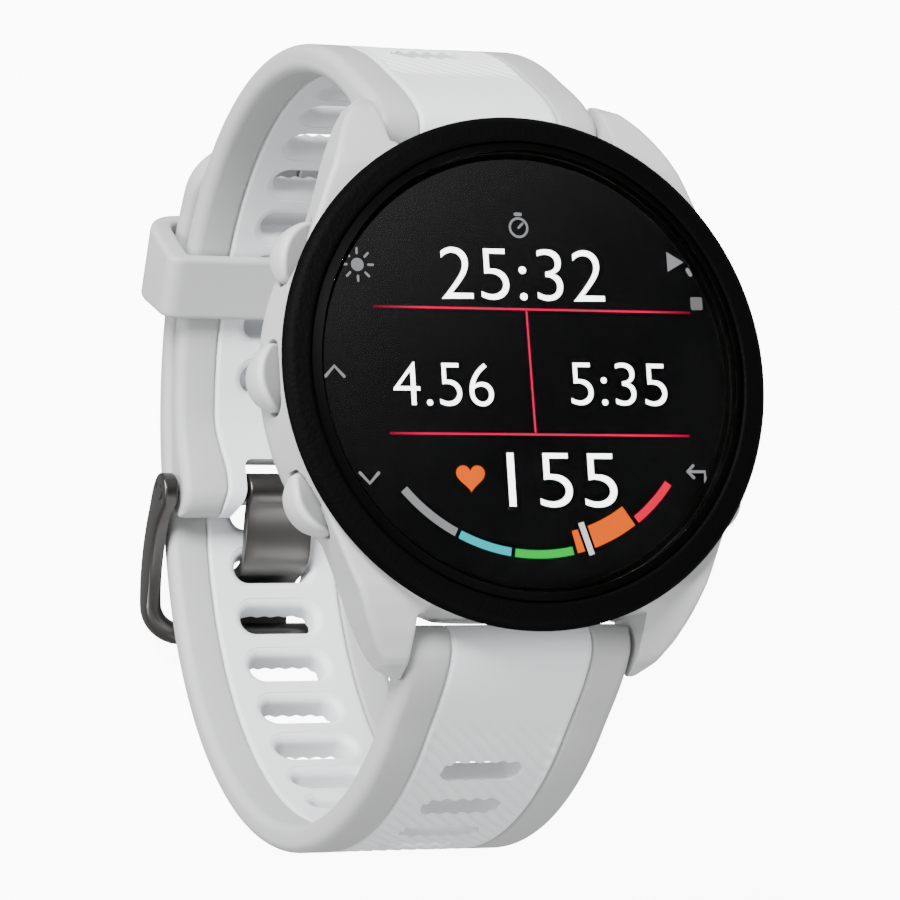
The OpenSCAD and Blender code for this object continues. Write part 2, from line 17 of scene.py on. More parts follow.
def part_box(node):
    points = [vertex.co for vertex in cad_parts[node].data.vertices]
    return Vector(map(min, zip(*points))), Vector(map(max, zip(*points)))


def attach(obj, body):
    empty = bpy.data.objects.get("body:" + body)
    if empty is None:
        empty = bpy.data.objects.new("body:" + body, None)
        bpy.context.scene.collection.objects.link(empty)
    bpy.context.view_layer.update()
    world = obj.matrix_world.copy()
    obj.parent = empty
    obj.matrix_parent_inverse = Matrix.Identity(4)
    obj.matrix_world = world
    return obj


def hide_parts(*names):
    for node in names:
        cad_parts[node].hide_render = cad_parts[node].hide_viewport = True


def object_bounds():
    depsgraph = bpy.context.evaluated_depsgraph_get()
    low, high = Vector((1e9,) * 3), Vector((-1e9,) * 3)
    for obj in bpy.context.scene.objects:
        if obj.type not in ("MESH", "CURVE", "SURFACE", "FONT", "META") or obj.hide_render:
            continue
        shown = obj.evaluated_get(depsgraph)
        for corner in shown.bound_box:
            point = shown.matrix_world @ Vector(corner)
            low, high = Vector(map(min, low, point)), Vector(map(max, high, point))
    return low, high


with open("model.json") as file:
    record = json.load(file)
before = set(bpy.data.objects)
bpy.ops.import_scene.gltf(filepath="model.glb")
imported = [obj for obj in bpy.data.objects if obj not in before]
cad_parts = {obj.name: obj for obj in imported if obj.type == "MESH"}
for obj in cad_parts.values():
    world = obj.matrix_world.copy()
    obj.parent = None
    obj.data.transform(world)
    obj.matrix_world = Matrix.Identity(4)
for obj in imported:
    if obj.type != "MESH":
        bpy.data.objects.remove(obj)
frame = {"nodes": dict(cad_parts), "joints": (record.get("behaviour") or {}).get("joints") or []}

bl_info = {
    "name": "Running watch",
    "version": (1, 0, 0),
    "blender": (4, 5, 0),
    "location": "View3D > Sidebar > Watch",
    "description": "Builds the case, dial, buttons, strap and buckle of a running watch",
    "category": "Object",
}

CAD_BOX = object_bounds()
MM = 0.001
TAU = 2 * math.pi


# ---- Places taken from the frame ----

def joint_point(name):
    """A joint's place seen along X, as (y, z) in millimetres."""
    found = next(j for j in frame["joints"] if j["name"] == name)
    return np.array(found["pos_m"][1:]) / MM


def corners(node):
    """Lowest and highest corner of a CAD node, in millimetres."""
    low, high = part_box(node)
    return np.array(low) / MM, np.array(high) / MM


WRIST = joint_point("keeper_slide")
BAR_TOP = joint_point("short_strap_sway")
BAR_BOTTOM = joint_point("long_strap_sway")
PIN = joint_point("buckle_frame_swing")
LENS_LOW, LENS_HIGH = corners("lens")
BEZEL_LOW, BEZEL_HIGH = corners("bezel")
CASE_LOW = corners("case_body")[0]
STRAP_LOW = corners("long_strap_rails")[0]
BUTTON_BODIES = ("light_button", "up_button", "down_button", "start_button", "back_button")


def button_angle(body):
    """A button's angle about the dial, from the direction that it is pressed in."""
    press = next(j for j in frame["joints"] if j["child"] == body)["axis"]
    return math.atan2(-press[1], -press[0])


# ---- Settings ----

def size(name, text, default):
    return FloatProperty(name=name, description=text, default=default)


def colour(name, text, default):
    return FloatVectorProperty(name=name, description=text, subtype="COLOR", size=3, default=default)


class StrapSettings(bpy.types.PropertyGroup):
    core_half: size("Core half width", "Half width of the white middle, in mm", 6.3)
    slot_pitch: size("Slot pitch", "Distance between slots, in mm", 5.3)
    slot_width: size("Slot width", "Length of a slot across the strap, in mm", 7.3)
    slot_length: size("Slot length", "Size of a slot along the strap, in mm", 2.5)
    rib_pitch: size("Rib pitch", "Distance between the slanting ribs, in mm", 1.0)
    rib_depth: size("Rib depth", "Depth of the slanting ribs, in mm", 0.24)
    grey: colour("Edge colour", "Colour of the strap's edges", (0.47, 0.475, 0.475))
    white: colour("Middle colour", "Colour of the strap's middle", (0.86, 0.875, 0.895))


class CaseSettings(bpy.types.PropertyGroup):
    shell: colour("Case colour", "Colour of the moulded case", (0.52, 0.525, 0.525))
    bezel: colour("Bezel colour", "Colour of the bezel's coating", (0.0012, 0.0012, 0.0013))
    metal: colour("Buckle colour", "Colour of the buckle's metal", (0.10, 0.097, 0.094))
    moulding: size("Moulding size", "Finest size kept in the moulded case, in mm", 0.17)
    glow: size("Display glow", "Strength of the lit display", 1.0)


# ---- Shader sums ----

class Wire:
    """A socket that does sums: an expression on wires adds the Math nodes that work it out."""

    def __init__(self, paint, socket):
        self.paint = paint
        self.socket = socket

    def _sum(self, operation, first, second=0.0):
        return self.paint.add("ShaderNodeMath", {"operation": operation}, {0: first, 1: second})

    def __add__(self, other): return self._sum("ADD", self, other)
    def __radd__(self, other): return self._sum("ADD", other, self)
    def __sub__(self, other): return self._sum("SUBTRACT", self, other)
    def __rsub__(self, other): return self._sum("SUBTRACT", other, self)
    def __mul__(self, other): return self._sum("MULTIPLY", self, other)
    def __rmul__(self, other): return self._sum("MULTIPLY", other, self)
    def __truediv__(self, other): return self._sum("DIVIDE", self, other)
    def __pow__(self, other): return self._sum("POWER", self, other)
    def above(self, level): return self._sum("GREATER_THAN", self, level)
    def clamp(self): return self.paint.add("ShaderNodeClamp", {}, {0: self})


class Paint:
    """A material under construction, and the one way that nodes are added to it."""

    def __init__(self, name):
        self.material = bpy.data.materials.new(name)
        self.material.use_nodes = True
        self.tree = self.material.node_tree
        self.surface = next(n for n in self.tree.nodes if n.type == "BSDF_PRINCIPLED")

    def add(self, kind, settings=None, inputs=None, output=0):
        """Adds a node: its settings are set first, then the values or links of its sockets."""
        node = self.tree.nodes.new(kind)
        for key, value in (settings or {}).items():
            if key == "stops":
                self._stops(node, value)
            else:
                setattr(node, key, value)
        for key, value in (inputs or {}).items():
            self.feed(node.inputs[key], value)
        return Wire(self, node.outputs[output])

    def _stops(self, node, stops):
        band = node.color_ramp.elements
        while len(band) < len(stops):
            band.new(0.5)
        for element, (place, colour) in zip(band, stops):
            element.position = place
            element.color = (*colour, 1.0)

    def feed(self, socket, value):
        if isinstance(value, Wire):
            self.tree.links.new(value.socket, socket)
        elif socket.type == "RGBA":
            socket.default_value = (*value, 1.0)
        else:
            socket.default_value = value

    def finish(self, **sockets):
        """Sets the surface's sockets by name, with underscores for spaces."""
        for key, value in sockets.items():
            self.feed(self.surface.inputs[key.replace("_", " ")], value)
        return self.material

    def place(self):
        return self.add("ShaderNodeTexCoord", output=3)

    def noise(self, size_mm, detail=3.0, rough=0.55, stretch=(1, 1, 1)):
        """Noise whose features are about size_mm across; stretch lengthens them along an axis."""
        scale = tuple(1.0 / (size_mm * MM * s) for s in stretch)
        spot = self.add("ShaderNodeMapping", {}, {"Vector": self.place(), "Scale": scale})
        return self.add("ShaderNodeTexNoise", {}, {"Vector": spot, "Scale": 1.0, "Detail": detail,
                                                    "Roughness": rough})

    def blend(self, amount, first, second):
        return self.add("ShaderNodeMix", {"data_type": "RGBA"}, {0: amount, 6: first, 7: second}, output=2)

    def bump(self, height, depth_mm, strength=1.0):
        return self.add("ShaderNodeBump", {}, {"Height": height, "Distance": depth_mm * MM,
                                                "Strength": strength})


def shade(colour, factor):
    return tuple(min(1.0, c * factor) for c in colour)


# ---- Materials ----

def silicone(name, colour):
    """Matt silicone: a faint bloom of dust in the colour, and a fine moulded grain."""
    p = Paint(name)
    bloom = p.noise(6.0, 2.0)
    grain = p.noise(0.11, 2.0)
    tint = p.blend(bloom, shade(colour, 0.965), shade(colour, 1.02))
    return p.finish(Base_Color=tint, Roughness=0.46 + grain * 0.12, Normal=p.bump(grain, 0.006),
                    Specular_IOR_Level=0.42, Subsurface_Weight=0.0, Sheen_Weight=0.06, Sheen_Roughness=0.4)


def moulded_case(name, colour):
    """Fibre-filled polymer: tiny speckles and a satin, lightly textured skin."""
    p = Paint(name)
    speck = p.noise(0.16, 2.0)
    cloud = p.noise(9.0, 2.0)
    tint = p.blend(cloud, shade(colour, 0.97), shade(colour, 1.02))
    tint = p.blend((speck - 0.52).above(0.1) * 0.25, tint, shade(colour, 0.86))
    return p.finish(Base_Color=tint, Roughness=0.40 + speck * 0.1, Normal=p.bump(speck, 0.008),
                    Specular_IOR_Level=0.45)


def grained_bezel(name, colour):
    """Black coated ring with the coarse leather-like grain of a spark-eroded mould."""
    p = Paint(name)
    cells = p.add("ShaderNodeTexVoronoi", {"feature": "SMOOTH_F1"},
                  {"Vector": p.place(), "Scale": 1.0 / (0.34 * MM)})
    fine = p.noise(0.12, 3.0)
    height = cells * 0.7 + fine * 0.5
    tint = p.blend(fine, shade(colour, 0.6), shade(colour, 1.6))
    return p.finish(Base_Color=tint, Roughness=0.46 + fine * 0.16, Normal=p.bump(height, 0.05),
                    Specular_IOR_Level=0.03)


def dark_metal(name, colour):
    """Coated steel brushed along X, a little brighter where the coating has rubbed."""
    p = Paint(name)
    brush = p.noise(0.05, 3.0, 0.6, stretch=(60, 1, 1))
    rub = p.noise(3.5, 2.0)
    tint = p.blend((rub - 0.45).clamp() * 0.8, colour, shade(colour, 1.35))
    return p.finish(Base_Color=tint, Metallic=1.0, Roughness=0.26 + brush * 0.16,
                    Normal=p.bump(brush, 0.004))


def mottled(name, colours, rough, grain, depth_mm=None, **sockets):
    """A finish whose colour, roughness and skin all follow one noise. rough is its least value and its
    spread; grain is the noise's size in mm and its detail, roughness and stretch."""
    p = Paint(name)
    spots = p.noise(*grain)
    if depth_mm:
        sockets["Normal"] = p.bump(spots, depth_mm)
    return p.finish(Base_Color=p.blend(spots, *colours), Roughness=rough[0] + spots * rough[1], **sockets)


def steel(name, colour=(0.55, 0.56, 0.58), rough=0.28):
    """Bright turned steel."""
    return mottled(name, (shade(colour, 0.9), shade(colour, 1.05)), (rough, 0.14),
                   (0.06, 3.0, 0.6, (1, 12, 12)), 0.003, Metallic=1.0)


def rubber(name, colour=(0.02, 0.02, 0.021)):
    """Seal rubber with a dry, slightly dusty skin."""
    return mottled(name, (colour, shade(colour, 2.2)), (0.66, 0.14), (0.4, 3.0), 0.01)


def plain_plastic(name, colour, rough=0.45, grain_mm=0.25):
    """Injection-moulded plastic with a fine even grain."""
    return mottled(name, (shade(colour, 0.88), shade(colour, 1.08)), (rough, 0.1), (grain_mm, 3.0), 0.01)


def foil(name, colour=(0.55, 0.56, 0.58)):
    """Crinkled laminated foil of a pouch cell."""
    return mottled(name, (shade(colour, 0.85), shade(colour, 1.05)), (0.3, 0.2), (1.6, 4.0), 0.05,
                   Metallic=0.9)


def polished_black(name):
    """The printed edge of the glass: deep black under a polished slope."""
    return mottled(name, ((0.001, 0.001, 0.001), (0.002, 0.002, 0.002)), (0.4, 0.06), (5.0, 2.0),
                   Specular_IOR_Level=0.015)


def clear_glass(name):
    """Hardened glass: it lets the display through, and its coating gives a soft reflection."""
    p = Paint(name)
    smear = p.noise(7.0, 2.0)
    return p.finish(Base_Color=(1.0, 1.0, 1.0), Roughness=0.0, Transmission_Weight=1.0, IOR=1.02,
                    Coat_Weight=0.04 + smear * 0.03, Coat_Roughness=0.1, Coat_IOR=1.52)


def screen_black(name):
    """The unlit display: near black, with a faint painted reflection that glows towards 11 o'clock and a
    trace of its pixel grid.
    """
    p = Paint(name)
    dots = p.noise(0.1, 1.0)
    along = p.add("ShaderNodeSeparateXYZ", {}, {0: p.place()})
    x, y = along, Wire(p, along.socket.node.outputs[1])
    # Painted reflection: an emitted glow that grows towards 11 o'clock stands in for the glass reflecting a
    # soft light.
    haze_and_painted_reflection = ((y * 0.75 - x * 0.65) * (1 / (30 * MM)) + 0.36).clamp() ** 2.4
    glow = p.blend(haze_and_painted_reflection, (0.0, 0.0, 0.0), (0.025, 0.0243, 0.0255))
    return p.finish(Base_Color=p.blend(dots, (0.0012, 0.0012, 0.0014), (0.0022, 0.0022, 0.0025)),
                    Emission_Color=glow, Emission_Strength=1.0, Roughness=0.5 + dots * 0.1,
                    Specular_IOR_Level=0.0)


def lit(name, colour, strength):
    """A lit part of the display, with the faint unevenness of its pixels."""
    p = Paint(name)
    dots = p.noise(0.08, 1.0)
    glow = p.blend(dots, shade(colour, 0.95), colour)
    return p.finish(Base_Color=(0.0, 0.0, 0.0), Emission_Color=glow, Emission_Strength=strength,
                    Roughness=0.6, Specular_IOR_Level=0.0)


def fading(name, colour, middle_mm, reach_mm):
    """A lit rule that grows dark towards both ends: strength = clamp((reach - |x - middle|) / 6 mm)."""
    p = Paint(name)
    x = p.add("ShaderNodeSeparateXYZ", {}, {0: p.place()})
    away = ((x - middle_mm * MM) ** 2) ** 0.5
    level = ((reach_mm * MM - away) / (6 * MM)).clamp()
    return p.finish(Base_Color=(0.0, 0.0, 0.0), Emission_Color=p.blend(level, (0.0, 0.0, 0.0), colour),
                    Emission_Strength=1.0, Roughness=0.6, Specular_IOR_Level=0.0)


def capped(name, colour, dark):
    """The case's polymer on a button: its side wall, marked by the mesh's wall attribute, is darker with
    painted shade.
    """
    p = Paint(name)
    speck = p.noise(0.16, 2.0)
    wall = p.add("ShaderNodeAttribute", {"attribute_name": "wall"}, output=2)
    # Painted shade: the side wall is blended to the darker colour.
    tint = p.blend(wall, p.blend(speck, shade(colour, 0.97), shade(colour, 1.02)), dark)
    return p.finish(Base_Color=tint, Roughness=0.40 + speck * 0.1, Normal=p.bump(speck, 0.008),
                    Specular_IOR_Level=0.45)


def circuit_board(name):
    """Green solder mask over copper tracks, with tinned pads."""
    p = Paint(name)
    tracks = p.add("ShaderNodeTexBrick", {"offset": 0.5},
                   {"Vector": p.place(), "Scale": 1.0, "Brick Width": 1.9 * MM, "Row Height": 0.7 * MM,
                    "Mortar Size": 0.09 * MM}, output=1)
    pads = p.add("ShaderNodeTexVoronoi", {}, {"Vector": p.place(), "Scale": 1.0 / (1.3 * MM)})
    mask = p.blend(tracks, (0.012, 0.09, 0.045), (0.03, 0.17, 0.08))
    dotted = 1.0 - pads.above(0.16)
    return p.finish(Base_Color=p.blend(dotted, mask, (0.6, 0.58, 0.5)), Metallic=dotted * 0.9,
                    Roughness=0.34 + tracks * 0.1, Normal=p.bump(tracks + dotted, 0.02))


# ---- Surfaces ----

def link(name, mesh, material, sharp_degrees=None):
    """Puts a mesh in the scene, smooth except across edges sharper than the given angle."""
    mesh.update()
    mesh.shade_smooth()
    if sharp_degrees is not None:
        mesh.set_sharp_from_angle(angle=math.radians(sharp_degrees))
    piece = bpy.data.objects.new(name, mesh)
    bpy.context.scene.collection.objects.link(piece)
    if material:
        mesh.materials.append(material)
    return piece


def grid_faces(rows, columns, wrap_rows, wrap_columns, offset=0):
    """Quads between neighbouring rows and columns of a grid of points, as index numbers."""
    i = np.arange(rows if wrap_rows else rows - 1)[:, None]
    j = np.arange(columns if wrap_columns else columns - 1)[None, :]
    i2, j2 = (i + 1) % rows, (j + 1) % columns
    quads = np.stack([i * columns + j, i2 * columns + j, i2 * columns + j2, i * columns + j2], axis=-1)
    return (quads.reshape(-1, 4) + offset).tolist()


def surface(name, points, material, wrap_rows=False, wrap_columns=True, caps=True, sharp=None):
    """A grid of points in millimetres as a mesh; a tube's open ends are closed by fans at their middles."""
    rows, columns, _ = points.shape
    verts = points.reshape(-1, 3) * MM
    faces = grid_faces(rows, columns, wrap_rows, wrap_columns)
    if caps and wrap_columns and not wrap_rows:
        first, last = verts[:columns], verts[-columns:]
        verts = np.vstack([verts, first.mean(0), last.mean(0)])
        hub = rows * columns
        for j in range(columns):
            faces.append([(j + 1) % columns, j, hub])
            k = (rows - 1) * columns
            faces.append([k + j, k + (j + 1) % columns, hub + 1])
    mesh = bpy.data.meshes.new(name)
    mesh.from_pydata(verts.tolist(), [], faces)
    mesh.validate()
    piece = link(name, mesh, material, sharp)
    face_out(piece)
    return piece


def face_out(piece):
    """Merges doubled points and turns every face outwards."""
    work = bmesh.new()
    work.from_mesh(piece.data)
    bmesh.ops.remove_doubles(work, verts=work.verts, dist=2e-7)
    bmesh.ops.recalc_face_normals(work, faces=work.faces)
    work.to_mesh(piece.data)
    work.free()


def eased_rows(corners, radii, steps=6):
    """Closed outlines, one per row, with each corner replaced by a parabola that touches both its sides."""
    before, after = np.roll(corners, 1, 1), np.roll(corners, -1, 1)
    radii = np.broadcast_to(np.array(radii, float), corners.shape[:2])
    t = np.linspace(0, 1, steps)[None, None, :, None]

    def toward(other):
        gap = other - corners
        length = np.linalg.norm(gap, axis=2)
        reach = np.minimum(radii, length * 0.49)
        return (corners + gap * (reach / np.maximum(length, 1e-9))[..., None])[:, :, None]

    curve = (1 - t) ** 2 * toward(before) + 2 * t * (1 - t) * corners[:, :, None] + t ** 2 * toward(after)
    return curve.reshape(len(corners), -1, 2)


def eased(outline, radii, steps=6):
    """One closed outline with its corners eased."""
    return eased_rows(np.array(outline, float)[None], radii, steps)[0]


def turned(name, outline, material, steps=256, sharp=35):
    """A closed outline of (radius, height) turned about Z: x = r cos a, y = r sin a."""
    a = np.linspace(0, TAU, steps, endpoint=False)[:, None]
    r, z = outline[None, :, 0], outline[None, :, 1]
    points = np.stack([r * np.cos(a), r * np.sin(a), z + 0 * a], axis=-1)
    return surface(name, points, material, wrap_rows=True, sharp=sharp)


def bezier(p0, p1, p2, p3, n):
    """Points and directions along a cubic curve."""
    t = np.linspace(0, 1, n)[:, None]
    s = 1 - t
    p0, p1, p2, p3 = (np.array(p, float) for p in (p0, p1, p2, p3))
    point = s ** 3 * p0 + 3 * s * s * t * p1 + 3 * s * t * t * p2 + t ** 3 * p3
    slope = 3 * s * s * (p1 - p0) + 6 * s * t * (p2 - p1) + 3 * t * t * (p3 - p2)
    return point, slope / np.linalg.norm(slope, axis=1)[:, None]


def polar(centre, radius, degrees):
    a = np.radians(degrees)
    return np.array(centre) + np.stack([radius * np.cos(a), radius * np.sin(a)], axis=-1)


def rounded_section(x0, x1, h0, h1, radii, per_corner=6, across=1):
    """Rounded rectangles, one per row: the four corners are quarter circles of their own radii,
    and the two long sides carry extra points. All inputs are arrays with one value per row."""
    x0, x1, h0, h1 = (np.asarray(v, float)[:, None] for v in (x0, x1, h0, h1))
    a = np.linspace(0, math.pi / 2, per_corner)[None, :]
    parts = []
    corner_at = [(x1, h1, -1, -1, 0.0), (x0, h1, 1, -1, 0.5), (x0, h0, 1, 1, 1.0), (x1, h0, -1, 1, 1.5)]
    for index, (x, h, sx, sh, turn) in enumerate(corner_at):
        r = np.asarray(radii[index], float)
        r = np.broadcast_to(r.reshape(-1, 1), x.shape)
        angle = a + turn * math.pi
        parts.append(np.stack([x + sx * r + r * np.cos(angle), h + sh * r + r * np.sin(angle)], axis=-1))
    if across > 1:
        t = (np.arange(1, across) / across)[None, :, None]
        top = parts[0][:, -1:] * (1 - t) + parts[1][:, :1] * t
        low = parts[2][:, -1:] * (1 - t) + parts[3][:, :1] * t
        parts = [parts[0], top, parts[1], parts[2], low, parts[3]]
    return np.concatenate(parts, axis=1)


def modify(piece, kind, **settings):
    """Adds a modifier and applies it."""
    modifier = piece.modifiers.new(kind.title(), kind)
    for key, value in settings.items():
        setattr(modifier, key, value)
    bpy.context.view_layer.objects.active = piece
    with bpy.context.temp_override(object=piece, active_object=piece, selected_objects=[piece]):
        bpy.ops.object.modifier_apply(modifier=modifier.name)


def carve(piece, cutter, operation="DIFFERENCE"):
    """Cuts one mesh out of another, or joins it on, and throws the tool away."""
    modify(piece, "BOOLEAN", object=cutter, operation=operation, solver="EXACT")
    bpy.data.objects.remove(cutter)


def join(name, pieces):
    """One object from several, keeping each one's faces and materials."""
    with bpy.context.temp_override(active_object=pieces[0], object=pieces[0],
                                   selected_objects=pieces, selected_editable_objects=pieces):
        bpy.ops.object.join()
    pieces[0].name = name
    return pieces[0]


def settle(piece, body, slot, *nodes):
    """Says which body a piece rides on and which CAD nodes it stands for; slot, the name of a finish, is not
    used.
    """
    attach(piece, body)
    if nodes:
        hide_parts(*nodes)
    return piece


# ---- Strap ----

class Route:
    """A strap's middle line seen along X, as stretches joined end to end.
    A stretch is (centre, radius, first angle, last angle), or (start, length) where it is straight."""

    def __init__(self, stretches):
        self.stretches = stretches
        self.lengths = [abs(math.radians(s[3] - s[2])) * s[1] if len(s) == 4 else s[1] for s in stretches]
        self.ends = np.cumsum(self.lengths)
        self.length = float(self.ends[-1])

    def at(self, s):
        """Point (y, z) and outward normal at each distance along the line."""
        s = np.asarray(s, float)
        point, normal = np.zeros(s.shape + (2,)), np.zeros(s.shape + (2,))
        which = np.clip(np.searchsorted(self.ends, s, side="right"), 0, len(self.stretches) - 1)
        for index, stretch in enumerate(self.stretches):
            here = which == index
            local = s[here] - (self.ends[index] - self.lengths[index])
            if len(stretch) == 4:
                centre, radius, a0, a1 = stretch
                angle = np.radians(a0) + math.copysign(1, a1 - a0) * local / radius
                out = np.stack([np.cos(angle), np.sin(angle)], axis=-1)
                point[here], normal[here] = np.array(centre) + radius * out, out
            else:
                start, _ = stretch
                point[here] = np.array(start) + np.stack([local, 0 * local], axis=-1)
                normal[here] = (0.0, -1.0)
        return point, normal

    def place(self, s, h, x):
        """Puts (distance along, height outwards, x) into space."""
        s, h, x = np.broadcast_arrays(s, h, x)
        point, normal = self.at(s)
        yz = point + normal * h[..., None]
        return np.stack([x, yz[..., 0], yz[..., 1]], axis=-1)


def degrees_about(centre, point):
    return math.degrees(math.atan2(point[1] - centre[1], point[0] - centre[0]))


THICK = 2.5
SHORT_R = float(np.linalg.norm(BAR_TOP - WRIST))
TAIL_R = float(WRIST[1] - STRAP_LOW[2] - THICK / 2)
FLAT_Z = float(WRIST[1] - TAIL_R)
HEEL_Y = -3.0
HEEL_H = BAR_BOTTOM[1] - FLAT_Z
HEEL_W = BAR_BOTTOM[0] - HEEL_Y
LONG_R = float((HEEL_H ** 2 + HEEL_W ** 2) / (2 * HEEL_H))
HEEL = np.array([HEEL_Y, FLAT_Z + LONG_R])
PIN_ANGLE = degrees_about(WRIST, PIN)
TIP_ANGLE = -32.0
SLOT_ANGLE = 263.2
SHORT = Route([(WRIST, SHORT_R, degrees_about(WRIST, BAR_TOP), PIN_ANGLE)])
LONG = Route([
    (HEEL, LONG_R, degrees_about(HEEL, BAR_BOTTOM), 270.0),
    ((HEEL_Y, FLAT_Z), float(WRIST[0] - HEEL_Y)),
    (WRIST, TAIL_R, -90.0, TIP_ANGLE),
])
PIN_DROP = SHORT_R - float(np.linalg.norm(PIN - WRIST))
BAR_END = 2.0
PIN_END = 2.1
END_REACH = 0.3
HALF = 10.0
TONGUE_SLOT = math.radians(SLOT_ANGLE - degrees_about(HEEL, BAR_BOTTOM)) * LONG_R


def swell(s, start, end):
    """Runs smoothly from 0 at start to 1 at end."""
    t = np.clip((s - start) / (end - start), 0, 1)
    return t * t * (3 - 2 * t)


def round_end(gap, radius):
    """Height of a circle of the given radius at a distance from its middle."""
    return np.sqrt(np.maximum(radius ** 2 - np.minimum(np.abs(gap), radius) ** 2, 0.0))


def short_faces(s):
    """Outer and inner height of the short strap: round at the spring bar and at the buckle pin."""
    length = SHORT.length
    outer = THICK / 2 + (BAR_END - THICK / 2) * (1 - swell(s, 0, 8))
    inner = -outer
    outer = outer + (PIN_END - PIN_DROP - THICK / 2) * swell(s, length - 5, length)
    inner = inner - (PIN_DROP + PIN_END - THICK / 2) * swell(s, length - 8, length)
    outer = np.where(s < 0, round_end(s, BAR_END), outer)
    inner = np.where(s < 0, -round_end(s, BAR_END), inner)
    past = s > length
    beyond = np.maximum(s - length - END_REACH, 0)
    outer = np.where(past, -PIN_DROP + round_end(beyond, PIN_END), outer)
    inner = np.where(past, -PIN_DROP - round_end(beyond, PIN_END), inner)
    return outer, inner


def long_faces(s):
    """Outer and inner height of the long strap: round at the spring bar, thinner at its free tip."""
    length = LONG.length
    outer = THICK / 2 + (BAR_END - THICK / 2) * (1 - swell(s, 0, 8))
    outer = np.where(s < 0, round_end(s, BAR_END), outer)
    inner = -outer
    fade = np.clip((length - s) / 1.3, 0, 1)
    close = np.sqrt(np.maximum(1 - (1 - fade) ** 2, 0.0))
    return outer * close, inner * close


def short_seam(s):
    """Half width of the white middle: it pinches in before the buckle and opens again at the end."""
    half = settings().strap.core_half
    pinch = swell(s, SHORT.length - 7, SHORT.length - 1)
    return half - 0.75 * pinch + 0.5 * swell(s, SHORT.length - 0.3, SHORT.length + 2.2)


def long_seam(s):
    """Half width of the white middle: it tapers to nothing before the free tip."""
    half = settings().strap.core_half
    return half * np.sqrt(np.clip((LONG.length - 5.5 - s) / 7.0, 0.0, 1.0)) + 0 * s


def tip_half(s):
    """Half width of the long strap: a rounded free end."""
    reach = np.clip((LONG.length - s) / 7.0, 0, 1)
    return HALF * np.sqrt(np.maximum(1 - (1 - reach) ** 2.4, 0.0))


def stations(length, end, step):
    """Distances along a strap, closer together where its ends are round."""
    start_cap = -BAR_END * np.cos(np.linspace(0, math.pi / 2, 12, endpoint=False))
    middle = np.linspace(0, length, int(length / step))
    if not end:
        return np.concatenate([start_cap, middle])
    end_cap = length + END_REACH + end * np.sin(np.linspace(0, math.pi / 2, 14))
    return np.concatenate([start_cap, middle, end_cap])


def rail(name, route, s, faces, seam, half, side, material):
    """One grey edge: a rounded section between the seam and the strap's side, carried along the route.
    The side is a full soft radius, and the seam has a small one that leaves a fine groove."""
    outer, inner = faces(s)
    inside, outside = seam(s) + 0.02, half(s)
    inside = np.minimum(inside, outside * 0.98)
    soft = np.minimum(0.95, (outer - inner) * 0.48)
    soft = np.minimum(soft, np.maximum(outside - inside, 0.02) * 0.6)
    fine = np.minimum(0.36, (outer - inner) * 0.2)
    section = rounded_section(inside, outside, inner, outer, [soft, fine, fine, soft], per_corner=8)
    points = route.place(s[:, None], section[..., 1], side * section[..., 0])
    return surface(name, points, material, sharp=60)


def core(name, route, s, faces, seam, ribs, material):
    """The white middle: a flat section with eased seams, its outer face cut by slanting ribs.
    Rib height = depth * (cos(phase) - 1) / 2, where the phase grows along and across the strap."""
    st = settings().strap
    outer, inner = faces(s)
    half = np.maximum(seam(s) - 0.02, 0.01)
    fine = np.minimum(0.36, np.minimum((outer - inner) * 0.2, half * 0.4))
    section = rounded_section(-half, half, inner, outer, [fine] * 4, per_corner=4, across=60)
    x, h = section[..., 0], section[..., 1]
    start, stop, slope = ribs
    phase = TAU / st.rib_pitch * (x * math.sin(0.82) + slope * s[:, None] * math.cos(0.82))
    fade = swell(s, start, start + 3) * (1 - swell(s, stop - 3, stop))
    margin = swell(half[:, None] - np.abs(x), 0.3, 0.7)
    upper = h > (outer * 0.6 + inner * 0.4)[:, None]
    wave = st.rib_depth * (np.cos(phase) - 1) * 0.5
    h = h + np.where(upper, wave * fade[:, None] * margin, 0.0)
    points = route.place(s[:, None], h, x)
    return surface(name, points, material, sharp=50)


def slot_tool(route, s0, outer_size):
    """A tool for one slot: stacked pill outlines that flare like a quarter circle at the wrist side."""
    wide, tall = outer_size
    flare, low, high = 0.75, -THICK / 2, THICK / 2
    depth = np.concatenate([[high + 1.2], np.linspace(high, low + flare, 4),
                            low + flare * (1 - np.sin(np.linspace(0, math.pi / 2, 8)[1:])), [low - 1.6]])
    bend = np.clip((low + flare - depth) / flare, 0, 1)
    draft = 0.1 * (high - np.clip(depth, low, high)) / THICK
    grow = draft + flare * (1 - np.sqrt(1 - bend ** 2))
    a = np.linspace(0, TAU, 56, endpoint=False)
    spine = (wide - tall) / 2
    radius = tall / 2 + grow[:, None]
    x = np.sign(np.cos(a)) * spine + radius * np.cos(a)
    t = radius * np.sin(a)
    point, normal = route.at(np.array([s0]))
    point, normal = point[0], normal[0]
    along = np.array([-normal[1], normal[0]])
    yz = point + t[..., None] * along + depth[:, None, None] * normal
    points = np.stack([x + 0 * t, yz[..., 0], yz[..., 1]], axis=-1)
    return surface("slot_tool", points, None)


def box_tool(name, low, high, ease):
    """A cutting tool: a box whose four upright edges are eased."""
    low, high = np.array(low, float), np.array(high, float)
    ring = eased([(low[0], low[1]), (high[0], low[1]), (high[0], high[1]), (low[0], high[1])], ease)
    points = np.stack([np.column_stack([ring, np.full(len(ring), z)]) for z in (low[2], high[2])])
    return surface(name, points, None)


def cut_slots(piece, route, places):
    st = settings().strap
    tools = [slot_tool(route, s0, (st.slot_width, st.slot_length)) for s0 in places]
    carve(piece, join("slot_tools", tools))
    piece.data.set_sharp_from_angle(angle=math.radians(38))


def short_slots():
    first = math.radians(degrees_about(WRIST, BAR_TOP) - 25.5) * SHORT_R
    return [first + k * settings().strap.slot_pitch for k in range(11)]


